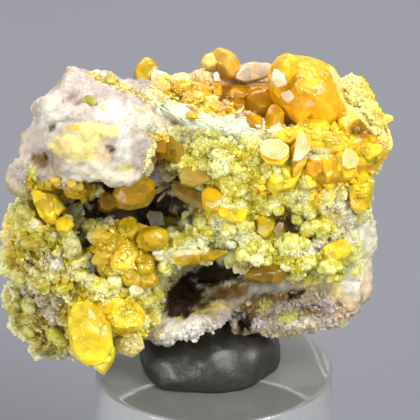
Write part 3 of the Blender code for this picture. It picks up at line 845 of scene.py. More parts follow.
def stone_faces(stone, corners, seed):
    """The ways out and the distances of a stone's faces. Each side of the outline gives two that lean to
    the front and to the back and meet on it; the others stand off the middle by their own distances, and
    a few more cut off what stands out most."""
    side = np.roll(corners, -1, axis=0) - corners
    out = np.stack((-side[:, 1], side[:, 0]), axis=-1)
    out /= np.linalg.norm(out, axis=1)[:, None]
    reach = np.sum(out * corners, axis=1)
    out *= np.sign(reach)[:, None]
    reach = np.abs(reach)
    facings = np.array(stone.faces, float)
    normals, distances = [], []
    for lean in (stone.lean, -stone.lean):
        length = math.hypot(1.0, lean)
        normals.append(np.column_stack((out, np.full(len(out), lean))) / length)
        distances.append(reach / length)
    normals.append(facings[:, :3] / np.linalg.norm(facings[:, :3], axis=1)[:, None])
    distances.append(facings[:, 3])
    normals.append(((0.0, 0.0, 1.0), (0.0, 0.0, -1.0)))
    distances.append(np.full(2, stone.thick))
    normals = np.concatenate(normals)
    distances = np.concatenate(distances)
    if stone.sharpness >= MIRROR_SHARPNESS:
        return normals, distances
    dice = np.random.default_rng(seed)
    cuts = dice.normal(size=(STONE_CUTS, 3)) * STONE_CUT_SPREAD + STONE_CUT_WAY
    cuts /= np.linalg.norm(cuts, axis=1)[:, None]
    cosines = np.clip(cuts @ normals.T, 1e-6, None)
    limits = np.min(distances / cosines, axis=1) * dice.uniform(*STONE_CUT_DEPTH, STONE_CUTS)
    return np.concatenate((normals, cuts)), np.concatenate((distances, limits))


def stone_form(stone, seed):
    """A crystal cut to an outline in the view: along a direction it reaches the nearest face, and
    -s * log(sum of exp(-distance / s)) rounds it over by about s where faces meet."""
    outline = np.array(stone.outline, float)
    middle = outline.mean(axis=0)
    corners = OUTLINE_GROWTH * (outline - middle) / PIXELS_PER_MM * np.array((1.0, -1.0))
    normals, distances = stone_faces(stone, corners, seed)
    size = np.abs(corners).max()
    soft = STONE_ROUNDING * size / stone.sharpness
    rows = int(STONE_ROWS[0] + STONE_ROWS[1] * size)
    directions, triangles, quads = ball_grid(rows, rows * 3 // 2)
    cosines = directions @ normals.T
    along = np.where(cosines > LEAST_COSINE, distances / np.maximum(cosines, LEAST_COSINE), FAR)
    nearest = along.min(axis=1)
    meeting = np.sum(np.exp((nearest[:, None] - along) / soft), axis=1)
    form = directions * (nearest - soft * np.log(meeting / FACES_MEETING))[:, None]
    form *= (1.0 + CRYSTAL_WOBBLE * rough(form + 10.0 * seed, 0.5 * size, seed, 3))[:, None]
    axes = np.stack((RIGHT, UPWARD, TOWARD))
    return form @ axes + at_depth(middle, stone.y), triangles, quads


def turned_frames(count, most, dice):
    """Turns of up to the most, in radians, about axes at random: each is the axis' own share of the
    point, plus the rest turned about it."""
    axes = dice.normal(size=(count, 3))
    axes /= np.linalg.norm(axes, axis=1)[:, None]
    angle = dice.uniform(-most, most, count)[:, None, None]
    zero = np.zeros(count)
    x, y, z = axes.T
    across = np.stack((zero, -z, y, z, zero, -x, -y, x, zero), axis=-1).reshape(count, 3, 3)
    own = axes[:, :, None] * axes[:, None, :]
    return own + np.cos(angle) * (np.eye(3) - own) + np.sin(angle) * across


def offspring(shape, count, seed):
    """Small crystals on the side of a shape that faces forward and up, of a size that suits it."""
    dice = np.random.default_rng(seed)
    skin = skin_of(shape)
    chance = smooth_step(-0.2, 0.8, skin.normals @ (0.8 * TOWARD + 0.6 * UPWARD))
    chosen = dice.choice(len(skin.points), count, replace=False, p=chance / chance.sum())
    reach = 0.5 * np.mean(np.ptp(skin.points, axis=0))
    sizes = (YOUNG_LEAST + YOUNG_MORE * dice.uniform(size=(count, 1)) ** 2) * reach
    sizes = sizes * dice.uniform(*YOUNG_UNEVEN, (count, 3))
    frames = turned_frames(count, YOUNG_TURN, dice) * sizes[:, None, :]
    return copies(cut_form(*SMALL_FORMS["grain"][0]), skin.points[chosen], frames)


def make_crystals(name, rows, material, replaced, seed):
    """One piece of the crystals and stones in the rows, each in its own tone, with small ones on some."""
    laid = []
    dice = np.random.default_rng(seed)
    for number, row in enumerate(rows):
        stone = stone_form(row, seed + number)
        parts = [(stone, row.sharpness >= FLAT_SHARPNESS)]
        if row.young:
            parts.append((offspring(stone, row.young, seed + 50 * number), True))
        finish = (row.sparkle, CLEARNESS.get(row.tone, LEAST_CLEARNESS), row.sharpness < MIRROR_SHARPNESS)
        for part, flat in parts:
            points = part[0]
            away = np.linalg.norm(points - stone[0].mean(axis=0), axis=1)
            # Painted highlight: points towards a stone's rim, and small crystals far out on it, are painted
            # lighter
            rim = smooth_step(*RIM_HIGHLIGHT_REACH, away / np.quantile(away, 0.95))
            light = STONE_LIGHT + RIM_HIGHLIGHT * rim + NOISE_LIGHT * rough(points, 0.6, seed, 3)
            shade = light * dice.uniform(*STONE_CHANCE)
            laid.append((part, linear(row.tone) * shade[:, None], flat, *finish))
    shapes, tones, *finishes = zip(*laid)
    counts = [len(shape[0]) for shape in shapes]
    flats, sparkles, clearness, facets = (np.repeat(each, counts) for each in finishes)
    whole = joined(shapes)
    tone, sparkle = overlaid(whole[0], 1.0, np.concatenate(tones), sparkles, CRYSTAL_STAINS_AND_HIGHLIGHT)
    piece = make_piece(name, whole, material, tone, sparkle, flats, clearness, facets)
    if replaced:
        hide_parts(*replaced)
    return whole, tone, sparkle


# Beds of small crystals and balls

# What chance makes of a small crystal's sides and of its light, and the shares of its own colour and of the
# ground's in its tone
SMALL_UNEVEN = (0.75, 1.25)
SMALL_LIGHT = (0.9, 1.18)
OWN_TONE = 0.85
GROUND_TONE = 0.15


def strewn(place, half, turn, spacing, dice):
    """Places about a spacing apart in a turned oval of the view, from a grid shaken by chance."""
    reach = max(half)
    steps = np.arange(-reach, reach + spacing, spacing)
    grid = np.stack(np.meshgrid(steps, steps), axis=-1).reshape(-1, 2)
    grid = grid + dice.uniform(-0.5, 0.5, grid.shape) * spacing
    grid = grid[np.hypot(grid[:, 0] / half[0], grid[:, 1] / half[1]) < 1.0]
    cosine, sine = cosine_and_sine(turn)
    return np.array(place, float) + grid @ np.array(((cosine, sine), (-sine, cosine)))


def settled(found, kind, turn, sizes, dice, colour=None, glitter=None):
    """A small crystal of that kind set down on each seat, its length along the turned line of the view and
    then tilted by chance, of its own size, in the tone and sparkle of its seat or in those given. Gives
    the shape, its tones and sparkles, and that its faces are flat."""
    cut, shares, sunk, tilt = SMALL_FORMS[kind]
    form = cut_form(*cut)
    count = len(found.points)
    size = sizes[0] + (sizes[1] - sizes[0]) * dice.uniform(size=count) ** 2
    centres = found.points + found.ways * (size * (1.0 - 2.0 * sunk))[:, None]
    uneven = np.array(shares) * dice.uniform(*SMALL_UNEVEN, (count, 3))
    along, _ = turned_line(turn)
    along = along - (found.ways @ along)[:, None] * found.ways
    along /= np.linalg.norm(along, axis=1)[:, None]
    laid = np.stack((along, np.cross(found.ways, along), found.ways), axis=-1)
    frames = turned_frames(count, tilt, dice) @ laid * (size[:, None] * uneven)[:, None, :]
    base = found.tones if colour is None else OWN_TONE * linear(colour) + GROUND_TONE * found.tones
    tones = base * dice.uniform(*SMALL_LIGHT, (count, 1))
    sparkles = found.sparkles if glitter is None else np.full(count, glitter)
    each = len(form[0])
    return copies(form, centres, frames), np.repeat(tones, each, axis=0), np.repeat(sparkles, each), True


def make_small(name, laid, material):
    """One piece of many shapes, each with its tones, its sparkles and whether its faces are flat."""
    shapes, tones, sparkles, flats = zip(*laid)
    flats = np.repeat(flats, [len(shape[0]) for shape in shapes])
    tones, sparkles = np.concatenate(tones), np.concatenate(sparkles)
    piece = make_piece(name, joined(shapes), material, tones, sparkles, flats)


def make_beds(name, rows, ground, material, seed):
    """One piece of all the small crystals of the rows, each row strewn over its oval of the view."""
    laid = []
    for number, (_, right, down, wide, high, *values) in enumerate(rows):
        turn, spacing, sizes, kind, colour, glitter = values
        dice = np.random.default_rng(seed + number)
        found = seats(ground, strewn((right, down), (wide, high), turn, spacing, dice))
        laid.append(settled(found, kind, turn, sizes, dice, colour, glitter))
    make_small(name, laid, material)


def make_strewn(name, rows, ground, material, seed):
    """One piece of small crystals on the sides that face away from the view, on faces picked by chance
    times area times the square of their sparkle."""
    corners = ground.points[ground.faces]
    ways = np.cross(corners[:, 1] - corners[:, 0], corners[:, 2] - corners[:, 0])
    area = np.linalg.norm(ways, axis=1)
    ways /= np.maximum(area, 1e-12)[:, None]
    chance = area * smooth_step(0.3, -0.1, ways @ TOWARD) * ground.sparkles[ground.faces[:, 0]] ** 2
    laid = []
    for number, (_, count, sizes, kind, colour, glitter) in enumerate(rows):
        dice = np.random.default_rng(seed + number)
        chosen = dice.choice(len(area), count, replace=False, p=chance / chance.sum())
        first = ground.faces[chosen, 0]
        middles = corners[chosen].mean(axis=1)
        found = Seats(middles, ways[chosen], ground.tones[first], ground.sparkles[first])
        laid.append(settled(found, kind, STREWN_TURN, sizes, dice, colour, glitter))
    make_small(name, laid, material)


def make_balls(name, rows, ground, material, seed):
    """Single lumps, each on the spot where its place meets the ground: a ball of the half width and half
    height seen, swollen by packed half balls and noise, with sugar on it."""
    dice = np.random.default_rng(seed)
    laid = []
    grain = cut_form(*SMALL_FORMS["sugar"][0])
    for number, (_, right, down, wide, high, colour, glitter, *turn) in enumerate(rows):
        found = seats(ground, [(right, down)])
        points, triangles, quads = ball_grid(*BALL_GRID)
        wide, high = np.array((wide, high)) / PIXELS_PER_MM
        along, beside = turned_line(*turn)
        frame = np.stack((along * wide, beside * high, TOWARD * min(wide, high)), axis=-1)
        points = points @ frame.T
        where = points + 9.0 * number
        swelling = BALL_KNOBS * knobs(where, 0.5, seed) + BALL_ROUGH * rough(where, 0.9, seed, 3)
        centre = found.points[0] + BALL_LIFT * min(wide, high) * TOWARD
        points = BALL_CORE * points * (1.0 + swelling)[:, None] + centre
        count = int(BALL_GRAINS * (wide + high))
        chosen = dice.choice(len(points), count, replace=False)
        sizes = (BALL_GRAIN_LEAST + BALL_GRAIN_MORE * dice.uniform(size=(count, 1)) ** 2) * np.ones(3)
        sugar = copies(grain, points[chosen], turned_frames(count, 3.1, dice) * sizes[:, None, :])
        base = np.broadcast_to(linear(colour) * dice.uniform(*BALL_LIGHT), (len(points), 3))
        # Painted shade in a ball's crevices and a painted highlight on its tops
        tones = painted_relief_shade(base, swelling, *BALL_SHADE_TO_HIGHLIGHT, tip_share=BALL_TIP_HIGHLIGHT * glitter)
        laid.append(((points, triangles, quads), tones, np.full(len(points), glitter), False))
        tones = linear(colour) * np.repeat(dice.uniform(*BALL_GRAIN_LIGHT, count), len(grain[0]))[:, None]
        laid.append((sugar, tones, np.full(len(tones), glitter), True))
    make_small(name, laid, material)


# Small crystals: number of sides, profile and heights of the tips if they stand out, three half sizes as
# shares, how far it sinks, how far it turns
SMALL_FORMS = {
    "grain": ((4, ((0.7, 0.75), (1.2, 0.35), (1.2, -0.35), (0.7, -0.75))), (1.0, 1.0, 1.0), 0.35, 3.1),
    "barrel": ((6, ((0.6, 0.9), (0.9, 0.6), (0.9, -0.6), (0.6, -0.9))), (1.0, 1.0, 1.1), 0.35, 3.1),
    "needle": ((4, ((0.1, 1.0), (1.0, 0.4), (1.0, -0.4), (0.1, -1.0))), (7.0, 0.7, 0.7), 0.45, 0.16),
    "sugar": ((4, ((1.0, 0.0),), (1.1, -1.1)), (1.0, 1.0, 1.0), 0.5, 3.1),
    "scale": ((4, ((1.0, 0.0),), (0.6, -0.6)), (1.0, 1.0, 1.0), 0.5, 0.5),
    "shard": ((5, ((0.8, 0.25), (1.1, 0.0), (0.8, -0.25))), (1.0, 0.7, 1.0), 0.4, 0.9),
}
# (what it is, right and down, half width and half height in the view, turn, spacing there, sizes in mm,
# kind, colour or none for the ground's, sparkle)
CRYSTAL_BEDS = (
    ("top crystals' seat, left", 180, 92, 30, 14, 15, 3.6, (0.1, 0.3), "shard", "straw", 0.4),
    ("seat, pink and pale", 200, 84, 22, 12, 0, 3.6, (0.12, 0.34), "shard", "tan", 0.2),
    ("seat, middle", 215, 104, 26, 12, 5, 4.4, (0.14, 0.36), "shard", "thumb amber", 0.0),
    ("seat, honey", 252, 104, 30, 16, 0, 6, (0.14, 0.36), "grain", "brown amber", 0.0),
    ("seat, behind", 232, 78, 44, 10, 0, 6, (0.2, 0.5), "grain", "tan", 0.1),
    ("golden clumps", 160, 138, 11, 5, 20, 2.8, (0.06, 0.2), "grain", "golden", 0.4),
    ("knob's golden side", 31, 178, 6, 12, 0, 3.4, (0.08, 0.24), "grain", "leaf", 0.8),
    ("under the big crystal", 306, 138, 26, 7, 5, 3.6, (0.1, 0.32), "grain", "yolk", 0.3),
    ("right shoulder", 350, 140, 20, 12, 20, 4.5, (0.1, 0.36), "grain", "yolk", 0.4),
    ("orange rubble", 330, 175, 26, 14, 0, 4.5, (0.1, 0.3), "grain", "golden", 0.3),
    ("wall, golden grains", 264, 188, 18, 9, 0, 5, (0.08, 0.22), "grain", "golden", 0.4),
    ("gold pocket", 322, 196, 11, 8, 0, 3.6, (0.08, 0.2), "grain", "golden", 0.6),
    ("yellow cluster", 128, 250, 34, 30, 20, 5, (0.14, 0.5), "grain", "cluster gold", 0.4),
    ("lemon mass, right", 134, 330, 14, 24, 0, 4.6, (0.1, 0.34), "grain", "lemon", 0.7),
    ("right mass", 370, 150, 20, 22, 0, 4.6, (0.12, 0.36), "grain", "golden", 0.3),
    ("left mass, golden bits", 66, 284, 14, 10, 0, 5, (0.1, 0.3), "grain", "olive", 0.3),
    ("amber gap", 168, 152, 12, 10, 0, 5, (0.2, 0.55), "grain", "dull amber", 0.1),
    ("under the block", 62, 190, 34, 10, 5, 5, (0.14, 0.42), "grain", "cluster gold", 0.2),
)


def sugar(what, right, down, wide, high, turn, spacing, colour=None, sizes=(0.03, 0.08), glitter=0.3):
    """A row for a bed of sugar."""
    return what, right, down, wide, high, turn, spacing, sizes, "sugar", colour, glitter


# Sugar on rock and crust, and sugar and scales on the crystals
SUGAR_BEDS = (
    sugar("wall", 262, 168, 96, 50, 12, 2.1),
    sugar("wall, pale sugar", 262, 168, 94, 48, 12, 3.2, "mint", (0.03, 0.09), 0.6),
    sugar("wall, white spots", 222, 160, 16, 10, 20, 1.7, "mint"),
    sugar("wall, second white spots", 214, 150, 8, 5, 20, 1.7, "chalk", (0.03, 0.07)),
    sugar("wall, white crest", 318, 152, 13, 9, 0, 1.6, "chalk"),
    sugar("shelf", 300, 258, 66, 26, -5, 2.2),
    sugar("shelf, pale sugar", 300, 258, 64, 24, -5, 3.4, "mint", (0.03, 0.09), 0.6),
    sugar("shelf, white crystals", 302, 253, 16, 4, -8, 1.7, "chalk", (0.04, 0.13)),
    sugar("shelf, white line", 326, 243, 34, 6, -22, 1.7, "chalk"),
    sugar("arc", 222, 240, 34, 20, -8, 2.1),
    sugar("arc, pale sugar", 222, 240, 34, 20, -8, 3.0, "mint", (0.03, 0.09), 0.6),
    sugar("arc, left arm", 186, 248, 24, 9, -25, 1.8, "mint"),
    sugar("left mass", 55, 290, 56, 66, 0, 2.5, None, (0.03, 0.09)),
    ("drusy slope", 148, 122, 24, 13, 24, 2.4, (0.03, 0.08), "scale", "cream", 0.4),
    sugar("golden line", 114, 84, 30, 5, 22, 1.9, "leaf", (0.03, 0.09)),
    sugar("serrated edge", 150, 155, 3, 19, 22, 1.8, "straw", (0.03, 0.09)),
    sugar("right corner", 338, 202, 18, 24, -20, 1.8, "chalk"),
    sugar("block, peak", 80, 84, 16, 10, -20, 2.0, "pink white", (0.025, 0.06)),
    sugar("block, white lumps", 52, 112, 14, 10, 0, 2.0, "chalk", (0.025, 0.06)),
    sugar("ledge", 296, 312, 60, 20, -4, 2.5, None, (0.03, 0.09)),
    sugar("pale band", 190, 330, 42, 10, -14, 2.2, "chalk"),
    sugar("right mass", 368, 160, 18, 26, 0, 2.2, "golden", (0.03, 0.1)),
    sugar("knob", 22, 176, 14, 15, 0, 2.2, "chalk"),
)
CRYSTAL_SUGAR_BEDS = (
    ("big crystal's druse", 311, 81, 19, 14, 38, 3.1, (0.05, 0.17), "shard", "straw", 0.3),
    ("big crystal's rim", 310, 130, 25, 6, 5, 3.0, (0.04, 0.12), "scale", "pale wulfenite", 0.3),
    ("plate's druse", 364, 104, 13, 40, -34, 2.8, (0.05, 0.16), "shard", "pale wulfenite", 0.1),
    ("plate's white edge", 356, 104, 5, 36, -34, 2.2, (0.04, 0.13), "shard", "pale lime", 0.1),
    ("plate's tip", 384, 138, 9, 13, -30, 2.4, (0.04, 0.13), "shard", "mint", 0.1),
    ("thumb's wing", 166, 84, 10, 17, -30, 4.5, (0.03, 0.1), "shard", "pale wulfenite", 0.2),
    ("pink stones", 200, 80, 14, 9, 0, 3.4, (0.05, 0.16), "scale", "tan", 0.2),
    ("yellow bed", 190, 100, 20, 12, 10, 3.0, (0.04, 0.14), "shard", "pale wulfenite", 0.3),
    sugar("honey stones' druse", 226, 104, 10, 16, -30, 2.4, "tan", (0.03, 0.09)),
    sugar("right stub's top", 231, 204, 14, 5, 8, 1.6, "mint white", (0.03, 0.07), 0.1),
    sugar("row's white crest", 318, 154, 12, 6, 0, 1.8, "pale lime"),
    sugar("orange bank", 330, 144, 28, 10, 0, 2.8, "straw", (0.03, 0.09)),
    ("lemon", 90, 326, 20, 34, 0, 6, (0.03, 0.09), "scale", "pale wulfenite", 0.3),
    ("heart", 128, 318, 18, 12, 0, 3.6, (0.04, 0.12), "scale", "pale wulfenite", 0.3),
    ("cluster", 119, 256, 26, 22, 20, 3.4, (0.04, 0.12), "scale", "pale wulfenite", 0.3),
)
BALL_BEDS = (
    ("wall, left", 215, 145, 36, 18, 8, 4.6, (0.04, 0.15), "barrel", None, 0.9),
    ("wall, middle", 262, 165, 34, 26, 0, 4.6, (0.04, 0.15), "barrel", None, 0.9),
    ("wall, right", 312, 190, 38, 22, -10, 4.6, (0.04, 0.15), "barrel", None, 1.0),
    ("mint fibres, left", 178, 111, 32, 7, 28, 2.2, (0.03, 0.09), "needle", "mint white", 0.4),
    ("mint fibres, right", 238, 123, 42, 10, 12, 2.4, (0.03, 0.09), "needle", "mint white", 0.4),
    ("golden line", 114, 83, 28, 4, 22, 2.2, (0.04, 0.12), "grain", "straw", 0.6),
    ("golden line, right end", 150, 98, 18, 6, 24, 2.4, (0.04, 0.12), "grain", "butter", 0.6),
    ("drusy slope", 148, 122, 24, 13, 24, 4, (0.03, 0.1), "grain", "cream", 0.6),
    ("serrated edge", 150, 155, 3, 19, 22, 2.2, (0.06, 0.18), "grain", "pale lime", 0.6),
    ("ledge, broken bits", 292, 314, 60, 22, -4, 3.6, (0.05, 0.2), "grain", None, 0.2),
    ("band, broken bits", 196, 332, 38, 9, -14, 4.0, (0.05, 0.22), "grain", None, 0.2),
    ("block, broken bits", 84, 112, 34, 12, 0, 8, (0.03, 0.12), "grain", None, 0.2),
    ("shelf, front", 300, 268, 62, 14, -5, 4.6, (0.04, 0.15), "barrel", None, 0.9),
    ("shelf, top", 296, 242, 60, 16, -10, 4.6, (0.04, 0.15), "barrel", None, 0.9),
    ("arc", 225, 240, 30, 16, -10, 4.6, (0.04, 0.15), "barrel", None, 1.0),
    ("left mass, top", 36, 235, 30, 22, 0, 4.6, (0.04, 0.15), "barrel", None, 0.8),
    ("left mass", 50, 295, 46, 50, 0, 4.6, (0.04, 0.15), "barrel", None, 0.8),
    ("left mass, white crystals", 52, 262, 11, 10, 0, 3.2, (0.06, 0.16), "barrel", "chalk", 0.5),
    ("middle, lumps", 160, 285, 20, 26, 20, 4.6, (0.04, 0.15), "barrel", None, 0.8),
    ("lemon mass, pale cap", 112, 294, 24, 8, 0, 3, (0.06, 0.18), "barrel", "pale lime", 1.0),
    ("lemon mass, pale foot", 132, 346, 14, 10, 0, 3.2, (0.06, 0.2), "barrel", "pale lime", 0.9),
)
# Single balls: rows and columns of their grids
BALL_GRID = (16, 24)
# Grains of sugar on a ball for each mm of its half sizes, their least size in mm and what chance adds, and
# what chance makes of a ball's light and of theirs
BALL_GRAINS = 90
BALL_GRAIN_LEAST = 0.02
BALL_GRAIN_MORE = 0.05
BALL_LIGHT = (0.94, 1.04)
BALL_GRAIN_LIGHT = (0.84, 1.16)
# Swellings between which a ball's painted crevice shade turns into its painted top highlight, and how pale
# that highlight is on a sparkling one
BALL_SHADE_TO_HIGHLIGHT = (-0.1, 0.4)
BALL_TIP_HIGHLIGHT = 0.34
# What is left of a ball under its swellings, how far packed half balls and noise swell it, and how far it
# stands out of the ground, all as shares of its size
BALL_CORE = 0.84
BALL_KNOBS = 0.55
BALL_ROUGH = 0.25
BALL_LIFT = 0.1
# (what it is, right and down, half width and half height in the view, colour, sparkle, turn in degrees)
BALLS = (
    # The shelf
    ("left ball", 243, 255, 8, 8, "lime", 1.0),
    ("second ball", 257, 259, 7, 7, "pale lime", 1.0),
    ("ball behind", 251, 249, 6, 6, "lime", 1.0),
    ("third ball", 266, 259, 7, 7, "lime", 1.0),
    ("fourth ball", 272, 251, 6, 6, "lime", 1.0),
    ("upper ball", 291, 241, 8, 8, "lime", 1.0),
    ("its neighbour", 303, 243, 7, 6, "lime", 1.0),
    ("low neighbour", 296, 249, 5, 5, "lime", 1.0),
    ("golden ball", 309, 262, 8, 8, "lime", 1.0),
    ("pale ball", 295, 275, 8, 7, "lime", 1.0),
    ("small ball", 286, 266, 5, 5, "pale lime", 1.0),
    ("lump below", 311, 277, 9, 7, "lime", 0.8),
    ("large lump", 331, 266, 12, 9, "lime", 0.8, -20),
    ("pale lump", 336, 276, 10, 7, "lime", 0.8, -20),
    ("egg", 348, 261, 8, 4.5, "leaf", 0.4, -8),
    # The wall
    ("big lump", 319, 226, 13, 9, "lime", 1.0, 30),
    ("lump beside it", 308, 230, 8, 8, "lime", 1.0),
    ("pale knob", 285, 200, 11, 7, "lime", 1.0),
    ("yellow knob", 301, 208, 9, 6, "leaf", 0.8, 20),
    # The arc
    ("white ball", 231, 243, 6, 6, "mint", 1.0),
    ("pale ball", 229, 229, 9, 9, "pale lime", 1.0),
    ("second pale ball", 241, 227, 8, 8, "lime", 1.0),
    ("lime ball", 249, 227, 7, 7, "lime", 1.0),
    ("column, pale ball", 208, 232, 8, 8, "lime", 1.0),
    ("column, upper ball", 202, 223, 6, 6, "lime", 0.8),
    ("pocket, dull ball", 298, 219, 6, 6, "leaf", 0.4),
    ("pocket, upper ball", 279, 211, 5, 5, "leaf", 0.6),
    # The left mass
    ("pale lump", 24, 216, 9, 10, "moss", 0.6),
    ("white crystal", 35, 224, 6, 5, "chalk", 0.9),
    ("olive lump", 35, 242, 13, 9, "olive", 0.2),
    ("pale column", 72, 248, 8, 11, "moss", 0.6, -15),
    # Painted highlight: a small chalk ball set as a bright glint on the left mass
    ("white spot", 55, 235, 2.5, 2.5, "chalk", 0.6),
    ("hollow, olive ball", 89, 226, 9, 8, "moss", 0.2),
    ("hollow, grey ball", 94, 237, 6, 6, "moss", 0.3),
    ("left mass, golden lump", 63, 288, 8, 7, "leaf", 0.3),
    # The lemon
    ("left top lump", 97, 284, 10, 8, "lime", 0.8),
    ("top lump", 114, 284, 10, 8, "pale lime", 0.8),
    ("right top lump", 125, 292, 7, 6, "lime", 0.8),
    ("right lump", 151, 309, 8, 8, "lime", 0.6),
    ("lower right lump", 143, 322, 7, 7, "pale lime", 0.6),
    # The left mass
    ("low pale lump", 12, 306, 8, 8, "moss", 0.6),
    ("long crystal", 29, 331, 5, 11, "moss", 0.3, -20),
    ("second long crystal", 56, 336, 13, 6, "leaf", 0.3, 40),
    ("lime lump", 80, 274, 9, 8, "leaf", 0.9),
    ("lump by the gap", 90, 282, 8, 7, "moss", 0.9),
    ("green lump", 20, 275, 9, 8, "moss", 0.6),
    ("middle lump", 42, 285, 9, 8, "moss", 0.6),
    ("lower lump", 30, 305, 8, 8, "moss", 0.6),
    # The middle
    ("white ball", 159, 254, 7, 7, "chalk", 1.0),
    ("lime ball", 166, 268, 8, 8, "lime", 0.9),
    ("second lime ball", 156, 292, 8, 8, "lime", 0.8),
    ("third lime ball", 146, 300, 7, 7, "leaf", 0.8),
    ("white spot", 163, 300, 3, 3, "chalk", 1.0),
    # Under the block
    ("lime lump", 97, 191, 8, 7, "pale lime", 1.0, 10),
    ("second lime lump", 91, 197, 5, 5, "lime", 1.0),
    ("third lime lump", 104, 197, 5, 4, "lime", 1.0),
    ("band, white patch", 163, 335, 9, 5, "chalk", 0.9, -20),
)
# On the sides away from the view: (what it is, how many, sizes in mm, kind, colour or none, sparkle), and
# the turned line that their lengths follow
STREWN_TURN = 20
STREWN = (
    ("sugar", 5000, (0.03, 0.1), "sugar", None, 0.4),
    ("pale sugar", 1200, (0.03, 0.09), "sugar", "mint", 0.4),
    ("grains", 600, (0.06, 0.24), "grain", None, 0.4),
    ("golden grains", 110, (0.06, 0.2), "grain", "golden", 0.3),
)


# The crystals, piece by piece

def stones(*rows):
    """The rows with their values named."""
    return [Stone(*row) for row in rows]


